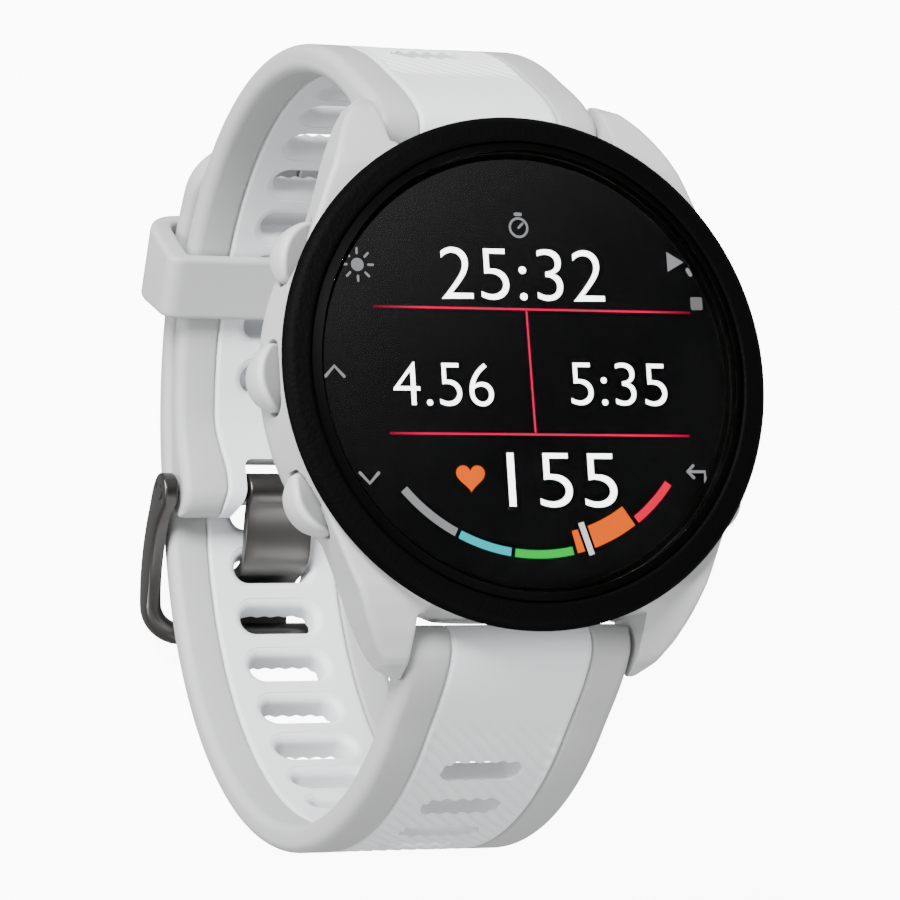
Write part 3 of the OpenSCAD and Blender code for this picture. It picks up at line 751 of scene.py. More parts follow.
def long_slots():
    pitch = settings().strap.slot_pitch
    last = int((LONG.length - 8 - TONGUE_SLOT) / pitch)
    return [TONGUE_SLOT + k * pitch for k in range(-12, last + 1)]


# ---- Operators ----

def settings():
    return bpy.context.scene.watch


class WatchSettings(bpy.types.PropertyGroup):
    strap: PointerProperty(type=StrapSettings)
    case: PointerProperty(type=CaseSettings)


class BuildShortStrap(bpy.types.Operator):
    """Builds the 12 o'clock half of the strap: grey edges, white slotted middle, notch for the tongue"""
    bl_idname = "watch.short_strap"
    bl_label = "Short strap"

    def execute(self, context):
        st = settings().strap
        grey, white = silicone("strap_grey", st.grey), silicone("strap_white", st.white)
        s = stations(SHORT.length, PIN_END, 0.5)
        half = lambda s: HALF + 0 * s
        rails = [rail("rail", SHORT, s, short_faces, short_seam, half, side, grey) for side in (-1, 1)]
        edges = join("short_strap_edges", rails)
        settle(edges, "short_strap", "silicone_grey", "short_strap_rails")
        fine = stations(SHORT.length, PIN_END, 0.17)
        middle = core("short_strap_middle", SHORT, fine, short_faces, short_seam,
                      (6.0, SHORT.length - 8, 1.0), white)
        cut_slots(middle, SHORT, short_slots())
        carve(middle, self.notch_tool())
        middle.data.set_sharp_from_angle(angle=math.radians(38))
        settle(middle, "short_strap", "silicone_white", "short_strap_core")
        return {"FINISHED"}

    def notch_tool(self):
        """The gap that the tongue turns in: its mouth widens, so that the strap's two prongs end round."""
        top, mouth = PIN[0] + 2.9, PIN[0] - PIN_END - END_REACH
        right = [(3.75, top), (3.75, mouth + 1.5), (5.3, mouth - 0.35), (5.3, mouth - 3)]
        left = [(-x, y) for x, y in reversed(right)]
        ring = eased(right + left, [0.9, 1.5, 1.2, 0.1, 0.1, 1.2, 1.5, 0.9], 10)
        points = np.stack([np.column_stack([ring, np.full(len(ring), level)])
                           for level in (PIN[1] - 4, PIN[1] + 5)])
        return surface("notch_tool", points, None)


class BuildLongStrap(bpy.types.Operator):
    """Builds the 6 o'clock half of the strap with its adjustment slots and rounded free end"""
    bl_idname = "watch.long_strap"
    bl_label = "Long strap"

    def execute(self, context):
        grey, white = bpy.data.materials["strap_grey"], bpy.data.materials["strap_white"]
        s = np.concatenate([stations(LONG.length - 8, 0, 0.5),
                            LONG.length - 8 * (1 - np.linspace(0, 1, 60)[1:]) ** 1.6])
        rails = [rail("rail", LONG, s, long_faces, long_seam, tip_half, side, grey) for side in (-1, 1)]
        edges = join("long_strap_edges", rails)
        settle(edges, "long_strap", "silicone_grey", "long_strap_rails")
        fine = stations(LONG.length - 5.6, 0, 0.17)
        middle = core("long_strap_middle", LONG, fine, long_faces, long_seam,
                      (6.0, LONG.length - 10, -1.0), white)
        cut_slots(middle, LONG, long_slots())
        settle(middle, "long_strap", "silicone_white", "long_strap_core")
        return {"FINISHED"}


KEEPER_ANGLE = -56.2


class BuildKeeper(bpy.types.Operator):
    """Builds the loop that holds the strap's free end down"""
    bl_idname = "watch.keeper"
    bl_label = "Keeper"

    def execute(self, context):
        high = corners("strap_keeper")[1]
        wall, side_wall, length = 1.2, 2.1, 6.5
        inner, outer = SHORT_R - THICK / 2 - 0.2, TAIL_R + THICK / 2 + 0.75
        half = high[0] - side_wall
        angle = math.radians(KEEPER_ANGLE)
        radii = [1.6, 3.4, 3.4, 1.6]
        loop = eased([(inner - wall, -high[0]), (outer + wall, -high[0]), (outer + wall, high[0]),
                      (inner - wall, high[0])], radii, 20)
        hole = eased([(inner, -half), (outer, -half), (outer, half), (inner, half)],
                     [0.7, 1.9, 1.9, 0.7], 20)
        across = (loop + hole) / 2, (loop - hole) / 2
        t = eased([(-1, -length / 2), (1, -length / 2), (1, length / 2), (-1, length / 2)], 0.62, 8)
        flat = across[0][:, None] + across[1][:, None] * t[None, :, :1]
        a = angle + t[None, :, 1] / SHORT_R
        points = np.stack([flat[..., 1], WRIST[0] + flat[..., 0] * np.cos(a),
                           WRIST[1] + flat[..., 0] * np.sin(a)], axis=-1)
        piece = surface("keeper_loop", points, bpy.data.materials["strap_grey"], wrap_rows=True, sharp=60)
        settle(piece, "keeper", "silicone_grey", "strap_keeper")
        return {"FINISHED"}


FAR_ANGLE = 254.3
FAR_BAR = polar(HEEL, LONG_R + THICK / 2 + 0.85 + 1.0, FAR_ANGLE)
ARM_X = 11.1
ARM_TALL, ARM_WIDE = 1.4, 0.66
PIN_HOLE = 0.42


class BuildBuckle(bpy.types.Operator):
    """Builds the buckle's frame as one bent bar, and its tongue curled round the pin"""
    bl_idname = "watch.buckle"
    bl_label = "Buckle"

    def execute(self, context):
        metal = dark_metal("buckle_metal", settings().case.metal)
        self.build_frame(metal)
        self.build_tongue(metal)
        return {"FINISHED"}

    def build_frame(self, metal):
        """Carries a rounded section from one pin eye down its arm, round a quarter circle of radius bend
        and along the far bar to the middle; the other half is the same path mirrored."""
        bend, eye, n = 3.0, 1.8, 70
        arm, slope = bezier(PIN, PIN + (-1.7, -3.2), FAR_BAR + (3.9, -2.2), FAR_BAR, n)
        run = np.concatenate([[0], np.cumsum(np.linalg.norm(np.diff(arm, axis=0), axis=1))])
        left = np.clip((run[-1] - run) / bend, 0, 1)
        x = -ARM_X + bend * (1 - np.sqrt(1 - (1 - left) ** 2))
        lead = -eye * np.cos(np.linspace(0, math.pi / 2, 12, endpoint=False))
        bar_x = np.linspace(-ARM_X + bend, 0, 10)[1:]
        yz = np.vstack([arm[0] + slope[0] * lead[:, None], arm, np.repeat(arm[-1:], len(bar_x), 0)])
        slope = np.vstack([np.repeat(slope[:1], len(lead), 0), slope, np.repeat(slope[-1:], len(bar_x), 0)])
        centre = np.column_stack([np.concatenate([np.full(len(lead), -ARM_X), x, bar_x]), yz])
        up = np.column_stack([np.zeros(len(slope)), -slope[:, 1], slope[:, 0]])
        run = np.concatenate([lead, run, run[-1] + bar_x - bar_x[0] + 1])
        tall = np.where(run < 0, round_end(run, eye), ARM_TALL + (eye - ARM_TALL) * (1 - swell(run, 0, 3.2)))
        turn = swell(run, run[len(lead) + n - 1] - 5, run[len(lead) + n - 1])
        tall = np.maximum(tall - 0.4 * turn, 0.02)
        wide = ARM_WIDE + (1 - ARM_WIDE) * turn
        ease = np.minimum(0.3 + 0.65 * turn, np.minimum(tall, wide) * 0.96)

        def both(row, sign=1.0):
            return np.concatenate([row, sign * row[:-1][::-1]])

        centre = np.concatenate([centre, centre[:-1][::-1] * (-1, 1, 1)])
        up, tall, wide, ease = both(up), both(tall), both(wide), both(ease)
        ahead = np.gradient(centre, axis=0)
        ahead /= np.linalg.norm(ahead, axis=1)[:, None]
        across = np.cross(ahead, up)
        across /= np.linalg.norm(across, axis=1)[:, None]
        section = rounded_section(-wide, wide, -tall, tall, [ease] * 4, per_corner=6)
        points = centre[:, None] + across[:, None] * section[..., :1] + up[:, None] * section[..., 1:]
        piece = surface("buckle_frame_bar", points, metal, sharp=40)
        a = np.linspace(0, TAU, 32, endpoint=False)
        for sign in (-1, 1):
            hole = np.stack([np.stack([np.full(32, sign * level), PIN[0] + PIN_HOLE * np.cos(a),
                                       PIN[1] + PIN_HOLE * np.sin(a)], axis=-1)
                             for level in (ARM_X + 0.2, ARM_X + 2)])
            carve(piece, surface("eye_tool", hole, None))
        settle(piece, "buckle_frame", "gunmetal", "buckle_frame")

    def build_tongue(self, metal):
        """A flat strip: it curls round the pin, sweeps down through the slot and ends over the far bar."""
        slot, out = polar(HEEL, LONG_R, SLOT_ANGLE), polar((0, 0), 1, SLOT_ANGLE)
        bar_out = polar((0, 0), 1, FAR_ANGLE)
        ahead = np.array([bar_out[1], -bar_out[0]])
        end = FAR_BAR + bar_out * (1.0 + 0.2 + 0.55)
        curl = polar(PIN, 1.28, np.linspace(-110, 150, 30))
        first, _ = bezier(curl[-1], PIN + (-3.2, -1.2), slot - out * 3.2, slot, 34)
        second, _ = bezier(slot, slot + out * 3.6, end - ahead * 3.5, end, 26)
        last = end + ahead * np.linspace(0, 1.4, 8)[1:, None]
        line = np.vstack([curl, first[1:], second[1:], last])
        run = np.concatenate([[0], np.cumsum(np.linalg.norm(np.diff(line, axis=0), axis=1))])
        along = np.gradient(line, axis=0)
        along /= np.linalg.norm(along, axis=1)[:, None]
        side = np.stack([-along[:, 1], along[:, 0]], axis=-1)
        half = 3.3 - 0.45 * swell(run, run[-1] - 9, run[-1] - 2)
        tip = np.clip((run[-1] - run) / 1.3, 0, 1)
        half = half - 1.2 * (1 - np.sqrt(np.maximum(1 - (1 - tip) ** 2, 0)))
        thick = np.full(len(run), 0.5)
        thick = thick * np.sqrt(np.maximum(1 - (1 - np.clip((run[-1] - run) / 0.5, 0.02, 1)) ** 2, 0.0))
        ease = np.minimum(0.22, thick * 0.8)
        section = rounded_section(-half, half, -thick, thick, [ease] * 4, per_corner=5, across=6)
        yz = line[:, None] + side[:, None] * section[..., 1:]
        points = np.stack([section[..., 0], yz[..., 0], yz[..., 1]], axis=-1)
        piece = surface("buckle_tongue_strip", points, metal, sharp=45)
        settle(piece, "buckle_tongue", "gunmetal", "buckle_tongue")


LUG_TIP = 24.45
# What a lug follows, each as (distance out along Y, value): its ridge's and its foot's distance from the
# middle, the height of its top and its underside, and its inner side's distance from the middle.
LUG_LINES = [
    [(11, 18.3), (13.4, 17.35), (16.2, 16.2), (20.1, 14.45), (21.9, 13.45), (23.25, 12.4), (LUG_TIP, 11.5)],
    [(11, 17.2), (13.4, 16.3), (15.5, 15.45), (18.5, 14.35), (21.1, 13.25), (22.5, 12.6), (23.8, 11.9),
     (LUG_TIP, 11.3)],
    [(11, 9.75), (17.5, 9.5), (19, 8.9), (21, 7.7), (23, 6.2), (LUG_TIP, 4.6)],
    [(11, 3.4), (17, 2.6), (20, 1.9), (22.5, 1.8), (LUG_TIP, 2.6)],
    [(11, 9.0), (19, 9.0), (20, 9.9), (LUG_TIP, 10.0)],
]
STRAP_GAP = 10.22


class BuildCase(bpy.types.Operator):
    """Builds the moulded case: a turned body, four lugs grown out of it, and the button pockets"""
    bl_idname = "watch.case"
    bl_label = "Case"

    def execute(self, context):
        cs = settings().case
        material = moulded_case("case_polymer", cs.shell)
        piece = turned("case_shell", self.body_outline(), material, steps=160)
        for sx in (-1, 1):
            for sy in (-1, 1):
                carve(piece, self.lug(sx, sy), "UNION")
        for body in BUTTON_BODIES:
            carve(piece, pocket_tool(button_angle(body)))
        modify(piece, "REMESH", mode="VOXEL", voxel_size=cs.moulding * MM)
        modify(piece, "SMOOTH", factor=0.5, iterations=4)
        for sign in (-1, 1):
            near, far = sorted((sign * 19.6, sign * 25.2))
            carve(piece, box_tool("gap_tool", (-STRAP_GAP, near, -3), (STRAP_GAP, far, 12), 0.3))
        carve(piece, turned("cavity_tool", self.cavity_outline(), None, steps=160))
        piece.data.shade_smooth()
        piece.data.set_sharp_from_angle(angle=math.radians(40))
        settle(piece, "case", "case_plastic", "case_body")
        return {"FINISHED"}

    def body_outline(self):
        """An upright side whose foot is a quarter ellipse down to the back cover's edge."""
        low, top = CASE_LOW[2], BEZEL_LOW[2]
        foot = np.linspace(0.03, 1, 22)
        side = np.stack([19.0 + 2.0 * np.sqrt(1 - (1 - foot) ** 2), low + 3.0 * foot], axis=-1)
        inner = [(21.0, top), (17.0, top), (17.0, low)]
        return np.vstack([[(18.6, low)], side, inner])

    def cavity_outline(self):
        top = BEZEL_LOW[2]
        return np.array([(0.0, -2.0), (17.72, -2.0), (17.72, 2.3), (17.5, 2.3), (17.5, top - 0.02),
                         (19.0, top - 0.02), (19.0, 13.0), (0.0, 13.0)])

    def lug(self, sx, sy):
        """Four-sided sections carried outwards along Y. The ridge, the foot, the top and the underside
        each follow their own line, so that the side leans in and the top falls to the tip."""
        nose = LUG_TIP - 1.65 * (1 - np.linspace(0, 1, 14)[1:]) ** 2
        y = np.concatenate([np.linspace(11.0, LUG_TIP - 1.65, 40), nose])
        ridge, foot, top, low, inner = (np.interp(y, *zip(*line)) for line in LUG_LINES)
        shrink = np.sqrt(np.clip(LUG_TIP + 0.02 - y, 0.001, 1))
        middle, tall = (top + low) / 2, (top - low) / 2 * shrink
        narrow = 0.5 + 0.5 * shrink
        ridge, foot = inner + (ridge - inner) * narrow, inner + (foot - inner) * narrow
        high, deep = middle + tall, middle - tall
        corners = np.stack([np.stack(at, -1) for at in ((ridge, high), (inner, high), (inner, deep),
                                                        (foot, deep))], axis=1)
        section = eased_rows(corners, (0.55, 0.5, 0.6, 0.9), 6)
        points = np.stack([sx * section[..., 0], sy * np.broadcast_to(y[:, None], section.shape[:2]),
                           section[..., 1]], axis=-1)
        return surface("lug", points, None)


BUTTON_LOW, BUTTON_HIGH = corners("up_button")
BUTTON_Z = float(BUTTON_LOW[2] + BUTTON_HIGH[2]) / 2
CAP_LENGTH = float(BUTTON_HIGH[1] - BUTTON_LOW[1])
CAP_HEIGHT = float(BUTTON_HIGH[2] - BUTTON_LOW[2])
CAP_OUT = float(-BUTTON_LOW[0])
CAP_RISE = 1.7
CAP_DEPTH = 2.55
CAP_ROUND = 0.62
# Where the painted shade on a button's side wall begins and where it is full, in mm under the crown's edge.
PAINTED_SHADE_START, PAINTED_SHADE_FULL = 0.35, 0.75


def around(angle, radial, sideways, height):
    """Points given outwards, sideways and up at an angle about the dial."""
    c, s = math.cos(angle), math.sin(angle)
    return np.stack([radial * c - sideways * s, radial * s + sideways * c, height + 0 * radial], axis=-1)


def pocket_tool(angle):
    """The recess that a button cap sinks into: an oval, |x/a|^2.4 + |z/b|^2.4 = 1, carried outwards."""
    a = np.linspace(0, TAU, 72, endpoint=False)
    c, s = np.cos(a), np.sin(a)
    x = np.sign(c) * np.abs(c) ** (2 / 2.4) * (CAP_LENGTH / 2 + 0.28)
    z = np.sign(s) * np.abs(s) ** (2 / 2.4) * (CAP_HEIGHT / 2 + 0.22)
    radial = np.array([CAP_OUT - 3.2, CAP_OUT + 3.0])[:, None] + 0 * a
    return surface("pocket_tool", around(angle, radial, x + 0 * radial, BUTTON_Z + z + 0 * radial), None)


class BuildButtons(bpy.types.Operator):
    """Builds the five domed button caps"""
    bl_idname = "watch.buttons"
    bl_label = "Buttons"

    def execute(self, context):
        shell = settings().case.shell
        # The darker colour, shade(shell, 0.36), is painted shade on the caps' side walls.
        material = capped("button_polymer", shade(shell, 1.08), shade(shell, 0.36))
        u = np.sin(np.linspace(-math.pi / 2, math.pi / 2, 60))
        x = u * CAP_LENGTH / 2
        arc_r = (CAP_LENGTH ** 2 / 4 + CAP_RISE ** 2) / (2 * CAP_RISE)
        out = CAP_OUT - arc_r + np.sqrt(arc_r ** 2 - x ** 2)
        half = CAP_HEIGHT / 2 * np.sqrt(np.maximum(1 - np.abs(u) ** 3.0, 4e-4))
        back = np.full_like(x, CAP_OUT - CAP_DEPTH)
        crown = 0.16 * np.sqrt(np.maximum(1 - u ** 2, 0))
        corners = np.stack([np.stack([back, -half], -1), np.stack([out - crown, -half], -1),
                            np.stack([out + crown * 0.4, 0 * half], -1), np.stack([out - crown, half], -1),
                            np.stack([back, half], -1)], axis=1)
        soft = np.minimum(CAP_ROUND, half * 0.5)[:, None] * np.array([0.1, 1.0, 1.5, 1.0, 0.1])
        section = eased_rows(corners, soft, 8)
        for body in BUTTON_BODIES:
            angle = button_angle(body)
            points = around(angle, section[..., 0], x[:, None] + 0 * section[..., 0],
                            BUTTON_Z + section[..., 1])
            piece = surface(body + "_cap", points, material, sharp=60)
            self.mark_painted_shade(piece.data, angle, arc_r)
            settle(piece, body, "button_plastic", body)
        return {"FINISHED"}

    def mark_painted_shade(self, mesh, angle, arc_r):
        """Writes how far each point lies under the crown's edge, the mask of the painted shade: 0 on the
        crown, 1 on the side wall.
        """
        verts = np.zeros(len(mesh.vertices) * 3)
        mesh.vertices.foreach_get("co", verts)
        x, y = (verts.reshape(-1, 3)[:, :2] / MM).T
        radial = x * math.cos(angle) + y * math.sin(angle)
        aside = y * math.cos(angle) - x * math.sin(angle)
        edge = CAP_OUT - arc_r + np.sqrt(arc_r ** 2 - np.minimum(aside ** 2, CAP_LENGTH ** 2 / 4))
        wall = mesh.attributes.new("wall", "FLOAT", "POINT")
        wall.data.foreach_set("value", swell(edge - radial, PAINTED_SHADE_START, PAINTED_SHADE_FULL).astype(np.float32))


class BuildDial(bpy.types.Operator):
    """Builds the bezel, the glass and the lit display under it"""
    bl_idname = "watch.dial"
    bl_label = "Dial"

    def execute(self, context):
        cs = settings().case
        top, low = LENS_HIGH[2], BEZEL_LOW[2]
        r = BEZEL_HIGH[0]
        lens_r = LENS_HIGH[0]
        outline = eased([(lens_r - 0.1, low), (r - 0.3, low), (r, low + 0.35), (r, top - 1.0),
                         (r - 0.5, top - 0.45), (lens_r + 0.3, top - 0.2), (lens_r + 0.07, top - 0.34),
                         (lens_r + 0.07, top - 1.5), (lens_r - 0.1, top - 1.5)],
                        [0.05, 0.15, 0.2, 0.35, 0.45, 0.2, 0.1, 0.05, 0.05], 8)
        bezel = turned("bezel_ring", outline, grained_bezel("bezel_coating", cs.bezel), steps=320)
        settle(bezel, "case", "bezel_black", "bezel")
        flat_r = lens_r - 0.75
        under = LENS_LOW[2]
        glass = eased([(0.0, under), (flat_r, under), (flat_r, top - 0.02), (flat_r - 0.03, top),
                       (0.0, top)], [0, 0.02, 0.01, 0.01, 0], 3)
        lens = turned("dial_glass", glass, clear_glass("dial_glass"), steps=320, sharp=50)
        settle(lens, "case", "glass", "lens")
        edge = eased([(flat_r + 0.005, under), (lens_r, under), (lens_r, top - 0.5),
                      (flat_r + 0.02, top - 0.01), (flat_r + 0.005, top - 0.03)],
                     [0.02, 0.05, 0.12, 0.02, 0.02], 6)
        slope = turned("glass_slope", edge, polished_black("glass_slope"), steps=320, sharp=50)
        settle(slope, "case", "glass", "lens")
        disc = eased([(0.0, under - 0.12), (lens_r - 0.05, under - 0.12), (lens_r - 0.05, under - 0.05),
                      (0.0, under - 0.05)], [0, 0.01, 0.01, 0], 2)
        screen = turned("display_black", disc, screen_black("display_black"), steps=200)
        settle(screen, "case", "display")
        self.draw(under - 0.035)
        return {"FINISHED"}

    def draw(self, z):
        """Numbers, rules, heart, gauge and button signs, as thin solids just under the glass."""
        glow = settings().case.glow
        white = lit("lit_white", (1.0, 1.0, 1.0), 6.0 * glow)
        grey = lit("lit_grey", (0.22, 0.22, 0.22), 1.0 * glow)
        red = fading("lit_red", shade((0.95, 0.006, 0.09), glow), 0.9, 16.0)
        orange = lit("lit_orange", (1.0, 0.13, 0.0), 1.4 * glow)
        silver = lit("lit_silver", (0.36, 0.37, 0.38), 1.0 * glow)
        inks = {"silver": silver, "orange": orange,
                "cyan": lit("lit_cyan", (0.01, 0.62, 0.70), 1.2 * glow),
                "green": lit("lit_green", (0.0, 0.68, 0.06), 1.2 * glow),
                "crimson": lit("lit_crimson", (1.0, 0.0, 0.05), 1.3 * glow)}
        self.number("time_digits", "25:32", (0.1, 8.2), 14.6, 4.35, z, white)
        self.number("pace_digits", "5:35", (8.15, -0.9), 8.7, 3.6, z, white)
        self.number("distance_digits", "4.56", (-7.55, -1.1), 8.8, 3.6, z, white)
        self.number("pulse_digits", "155", (2.5, -9.0), 9.7, 4.5, z, white)
        rule = 0.2
        self.plate("upper_rule", [stroke([(-13.2, 5.27), (15.05, 5.27)], rule)], z, red)
        self.plate("lower_rule", [stroke([(-12.4, -5.2), (14.2, -5.2)], rule)], z, red)
        self.plate("middle_rule", [stroke([(0.24, 5.05), (0.36, -4.98)], rule)], z, red)
        t = np.linspace(0, TAU, 90, endpoint=False)
        heart = np.stack([16 * np.sin(t) ** 3,
                          13 * np.cos(t) - 5 * np.cos(2 * t) - 2 * np.cos(3 * t) - np.cos(4 * t)], axis=-1)
        self.plate("heart_sign", [np.array([-5.65, -8.75]) + heart * 0.079], z, orange)
        for name, a0, a1, r, width, material in GAUGE:
            arc = polar((0, 0), r, np.linspace(a0, a1, 40))
            self.plate("gauge_" + name, [stroke(arc, width, round_ends=False)], z, inks[material])
        marker = [polar((0, 0), r, MARKER_ANGLE) for r in (13.1, 15.9)]
        for name, width, material in (("marker_gap", 0.95, screen_black("marker_gap")),
                                      ("gauge_marker", 0.5, lit("lit_marker", (0.8, 0.8, 0.8), 1.5 * glow))):
            z += DRAWN
            self.plate(name, [stroke(marker, width, round_ends=False)], z, material)
        self.signs(z, silver, grey)

    def signs(self, z, silver, grey):
        """Small generic signs: a stopwatch, a lamp, arrows, a start mark and a return arrow."""
        thin = 0.26
        ring = polar((0, 12.15), 0.78, np.linspace(0, 360, 40))
        self.plate("timer_sign", [stroke(ring, 0.2), stroke([(0, 12.15), (0.36, 12.5)], 0.2),
                                  stroke([(-0.22, 13.28), (0.22, 13.28)], 0.3)], z, silver)
        centre = polar((0, 0), 16.9, 149.0)
        rays = [stroke([centre + polar((0, 0), 0.95, a), centre + polar((0, 0), 1.35, a)], 0.2)
                for a in range(0, 360, 45)]
        self.plate("light_sign", [centre + polar((0, 0), 0.55, np.linspace(0, 350, 36))] + rays, z, silver)
        for name, angle, rise in (("up_sign", 180.6, 1), ("down_sign", 211.5, -1)):
            c = polar((0, 0), 17.0, angle)
            arrow = [c + (-0.8, -0.4 * rise), c + (0, 0.45 * rise), c + (0.8, -0.4 * rise)]
            self.plate(name, [stroke(arrow, thin)], z, silver)
        c = polar((0, 0), 16.9, 34.5)
        self.plate("start_sign", [np.array([c + (-0.6, -0.85), c + (0.9, 0), c + (-0.6, 0.85)])], z, silver)
        c = polar((0, 0), 16.9, 21.0)
        self.plate("stop_sign", [eased([c + (-0.55, -0.55), c + (0.55, -0.55), c + (0.55, 0.55),
                                        c + (-0.55, 0.55)], 0.2)], z, grey)
        tick = [polar((0, 0), 17.6, a) for a in (29.0, 30.5)]
        self.plate("start_tick", [stroke(tick, 0.35)], z, silver)
        c = polar((0, 0), 16.9, -29.5)
        hook = np.vstack([[c + (0.75, -0.75), c + (0.75, 0.1)], [c + (-0.8, 0.1)]])
        head = np.array([c + (-0.3, 0.6), c + (-0.85, 0.1), c + (-0.3, -0.4)])
        self.plate("back_sign", [stroke(hook, thin), stroke(head, thin)], z, silver)

    def number(self, name, text, middle, width, height, z, material):
        """Figures from the built-in typeface, made a mesh and then fitted to their size and place."""
        letters = bpy.data.curves.new(name, "FONT")
        letters.body = text
        letters.extrude = 0.01
        letters.offset = -0.012
        letters.resolution_u = 6
        holder = bpy.data.objects.new(name, letters)
        bpy.context.scene.collection.objects.link(holder)
        mesh = bpy.data.meshes.new_from_object(holder)
        bpy.data.objects.remove(holder)
        verts = np.zeros(len(mesh.vertices) * 3)
        mesh.vertices.foreach_get("co", verts)
        verts = verts.reshape(-1, 3)
        low, high = verts.min(0), verts.max(0)
        size = np.array([width, height, DRAWN]) / (high - low)
        verts = (verts - (low + high) / 2) * size + np.array([*middle, z])
        mesh.vertices.foreach_set("co", (verts * MM).ravel())
        mesh.materials.clear()
        piece = link(name, mesh, material, 30)
        face_out(piece)
        settle(piece, "case", "display")

    def plate(self, name, outlines, z, material):
        """Flat closed outlines as thin solids lying on one plane."""
        verts, faces = [], []
        for outline in outlines:
            n, base = len(outline), len(verts)
            flat = np.asarray(outline, float)
            for level in (z - DRAWN / 2, z + DRAWN / 2):
                verts += np.column_stack([flat, np.full(n, level)]).tolist()
            faces.append(list(range(base + n - 1, base - 1, -1)))
            faces.append(list(range(base + n, base + 2 * n)))
            for k in range(n):
                after = (k + 1) % n
                faces.append([base + k, base + after, base + n + after, base + n + k])
        mesh = bpy.data.meshes.new(name)
        mesh.from_pydata((np.array(verts) * MM).tolist(), [], faces)
        piece = link(name, mesh, material, 30)
        face_out(piece)
        settle(piece, "case", "display")


DRAWN = 0.012
MARKER_ANGLE = 287.2
# name, first and last angle, radius, width, colour
GAUGE = [
    ("rest", 220.3, 241.6, 15.15, 0.7, "silver"),
    ("warm", 242.9, 260.6, 15.15, 0.7, "cyan"),
    ("easy", 261.9, 281.6, 15.15, 0.7, "green"),
    ("steady", 282.9, 304.6, 14.5, 1.9, "orange"),
    ("hard", 306.0, 322.6, 15.15, 0.7, "crimson"),
]


def stroke(path, width, round_ends=True):
    """The outline of a line of even width: offset to both sides, with half circles at its ends."""
    path = np.array(path, float)
    ahead = np.gradient(path, axis=0)
    ahead /= np.linalg.norm(ahead, axis=1)[:, None]
    side = np.stack([-ahead[:, 1], ahead[:, 0]], axis=-1) * width / 2
    left, right = path + side, (path - side)[::-1]
    if not round_ends:
        return np.vstack([left, right])
    a = np.linspace(math.pi / 2, -math.pi / 2, 9)[1:-1, None]

    def cap(point, along, across):
        return point + along * np.cos(a) * width / 2 + across * np.sin(a)

    return np.vstack([left, cap(path[-1], ahead[-1], side[-1]), right,
                      cap(path[0], -ahead[0], -side[0])])


class FinishParts(bpy.types.Operator):
    """Gives each part that keeps its own shape a finish of its own"""
    bl_idname = "watch.parts"
    bl_label = "Works, back and fittings"

    def execute(self, context):
        bright = steel("bright_steel")
        black = plain_plastic("black_plastic", (0.016, 0.016, 0.017), 0.4)
        finishes = [
            (rubber("seal_rubber"), ["lens_seal", "back_seal", "button_seals"]),
            (screen_black("display_module"), ["display_panel"]),
            (plain_plastic("chassis_plastic", (0.03, 0.03, 0.032), 0.5, 0.4), ["inner_chassis"]),
            (circuit_board("circuit_board"), ["main_board", "sensor_board"]),
            (foil("battery_foil"), ["battery"]),
            (steel("copper_flex", (0.75, 0.38, 0.2), 0.3), ["gps_antenna"]),
            (steel("brass_disc", (0.75, 0.58, 0.28), 0.25), ["buzzer"]),
            (steel("motor_steel", (0.5, 0.51, 0.52), 0.32), ["vibration_motor"]),
            (moulded_case("back_polymer", (0.03, 0.03, 0.032)), ["back_cover"]),
            (bright, ["back_screws", "light_clip", "up_clip", "down_clip", "start_clip", "back_clip",
                      "top_spring_bar", "bottom_spring_bar", "top_release_pin", "bottom_release_pin",
                      "top_bar_spring", "bottom_bar_spring"]),
            (window_black("sensor_window"), ["sensor_window"]),
            (plain_plastic("led_resin", (0.18, 0.6, 0.22), 0.15), ["sensor_leds"]),
            (black, ["charge_socket"]),
            (steel("gold_contacts", (0.83, 0.62, 0.25), 0.2), ["charge_contacts"]),
            (steel("switch_steel", (0.6, 0.6, 0.6), 0.35), ["button_switches"]),
            (bpy.data.materials["buckle_metal"], ["buckle_pin"]),
        ]
        for material, nodes in finishes:
            for node in nodes:
                part = frame["nodes"][node]
                if not part.material_slots:
                    raise RuntimeError(node + " has no material slot")
                for place in part.material_slots:
                    place.link = "OBJECT"
                    place.material = material
        return {"FINISHED"}


def window_black(name):
    """Polished dark window over the heart-rate sensor, with a faint cloudy unevenness."""
    p = Paint(name)
    haze_and_painted_reflection = p.noise(3.0, 2.0)
    return p.finish(Base_Color=p.blend(haze_and_painted_reflection, (0.006, 0.006, 0.008), (0.012, 0.012, 0.015)),
                    Roughness=0.08 + haze_and_painted_reflection * 0.05, Coat_Weight=0.5 + haze_and_painted_reflection * 0.2, Coat_Roughness=0.03)


# name, place and size in metres, power in watts
LAMPS = [
    ("key", (-0.42, 0.38, 0.55), 0.35, 15.0),
    ("side", (-0.75, 0.05, 0.15), 0.4, 5.0),
    ("front", (0.15, -0.65, 0.45), 0.6, 4.0),
]
FLOOR_GAP = 0.0004
FLOOR_HALF = 3.0
FLOOR_GLOW = 9.0
WORLD_GLOW = 0.5


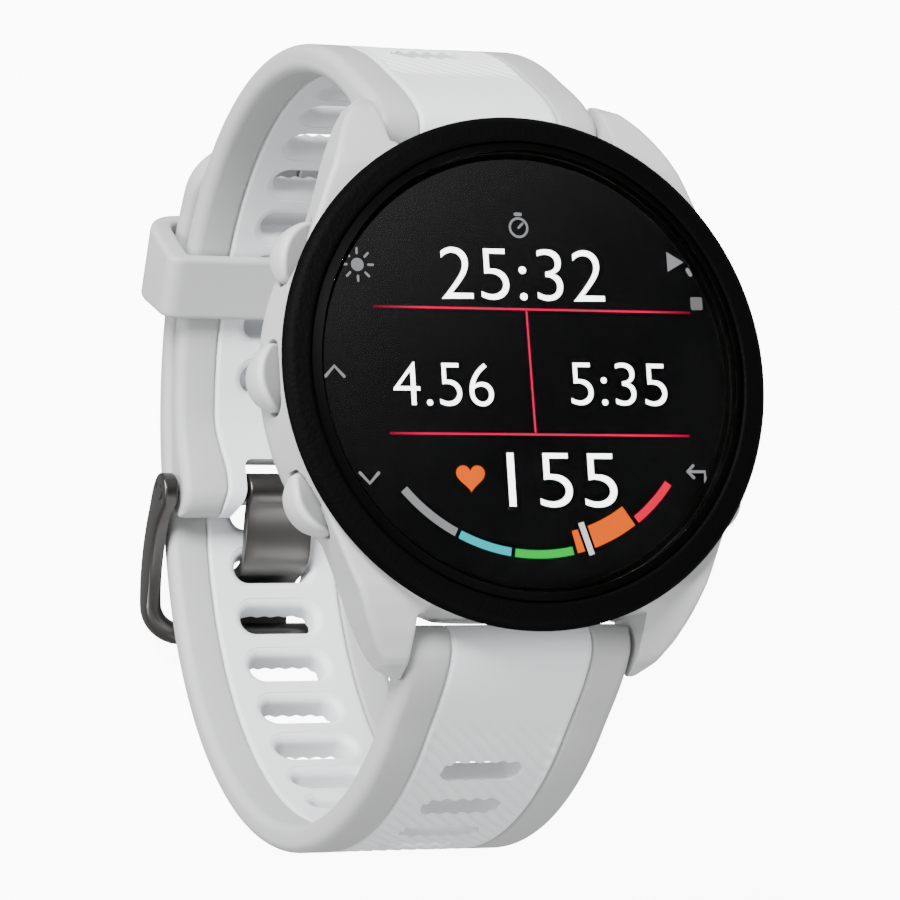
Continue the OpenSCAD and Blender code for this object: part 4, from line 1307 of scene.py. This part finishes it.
class BuildStage(bpy.types.Operator):
    """Adds the pale floor, the soft lights and the camera"""
    bl_idname = "watch.stage"
    bl_label = "Stage"

    def execute(self, context):
        floor = self.floor(float(CAD_BOX[0][2]) - FLOOR_GAP)
        for lamp in LAMPS:
            self.lamp(*lamp)
        self.world()
        self.camera()
        return {"FINISHED"}

    def floor(self, z):
        """A wide pale sheet that shows white to the eye and throws no light back at the watch."""
        mesh = bpy.data.meshes.new("floor")
        outline = [(x * FLOOR_HALF, y * FLOOR_HALF, z) for x, y in ((-1, -1), (1, -1), (1, 1), (-1, 1))]
        mesh.from_pydata(outline, [], [(0, 1, 2, 3)])
        p = Paint("floor_paint")
        tone = p.noise(400, 2.0)
        paint = p.finish(Base_Color=p.blend(tone, (0.93, 0.93, 0.93), (0.95, 0.95, 0.95)), Roughness=0.85,
                         Emission_Color=(1.0, 1.0, 1.0), Emission_Strength=FLOOR_GLOW)
        floor = link("floor", mesh, paint)
        floor.visible_diffuse = False
        floor.visible_glossy = False
        return floor

    def lamp(self, name, place, size, power):
        light = bpy.data.lights.new(name, "AREA")
        light.shape = "DISK"
        light.size = size
        light.energy = power
        lamp = bpy.data.objects.new(name, light)
        lamp.location = place
        lamp.rotation_euler = (Vector((0, 0, -0.02)) - Vector(place)).to_track_quat("-Z", "Y").to_euler()
        bpy.context.scene.collection.objects.link(lamp)

    def world(self):
        world = bpy.data.worlds.new("studio")
        world.use_nodes = True
        sky = world.node_tree.nodes["Background"].inputs
        sky["Color"].default_value = (1.0, 1.0, 1.0, 1.0)
        sky["Strength"].default_value = WORLD_GLOW
        bpy.context.scene.world = world

    def camera(self):
        """A long lens above the left of the dial; its axes are right, up and back."""
        right, up, back = (0.9246, -0.0603, 0.376), (-0.0074, 0.9841, 0.1761), (-0.3806, -0.1654, 0.9093)
        turn = np.linalg.qr(np.array([right, up, back]).T)[0]
        turn *= np.sign(np.diag(np.array([right, up, back]) @ turn))
        data = bpy.data.cameras.new("camera")
        data.lens = 180.2
        data.sensor_width = 36.0
        data.clip_start = 0.01
        camera = bpy.data.objects.new("camera", data)
        place = Matrix(turn.tolist()).to_4x4()
        place.translation = Vector((-0.14675, -0.06721, 0.3435))
        camera.matrix_world = place
        bpy.context.scene.collection.objects.link(camera)
        bpy.context.scene.camera = camera


class WatchPanel(bpy.types.Panel):
    """Lists the pieces and the sizes that can be changed"""
    bl_idname = "VIEW3D_PT_watch"
    bl_label = "Running watch"
    bl_space_type = "VIEW_3D"
    bl_region_type = "UI"
    bl_category = "Watch"

    def draw(self, context):
        for step in STEPS:
            self.layout.operator(step.bl_idname)
        for group in (settings().case, settings().strap):
            box = self.layout.box()
            for key in group.bl_rna.properties.keys():
                if key not in ("rna_type", "name"):
                    box.prop(group, key)


STEPS = [BuildCase, BuildDial, BuildButtons, BuildShortStrap, BuildLongStrap, BuildKeeper, BuildBuckle,
         FinishParts, BuildStage]
CLASSES = [StrapSettings, CaseSettings, WatchSettings, *STEPS, WatchPanel]


def register():
    for item in CLASSES:
        bpy.utils.register_class(item)
    bpy.types.Scene.watch = PointerProperty(type=WatchSettings)


def unregister():
    del bpy.types.Scene.watch
    for item in reversed(CLASSES):
        bpy.utils.unregister_class(item)


def main():
    register()
    for step in STEPS:
        group, name = step.bl_idname.split(".")
        getattr(getattr(bpy.ops, group), name)()


if __name__ == "__main__":
    main()
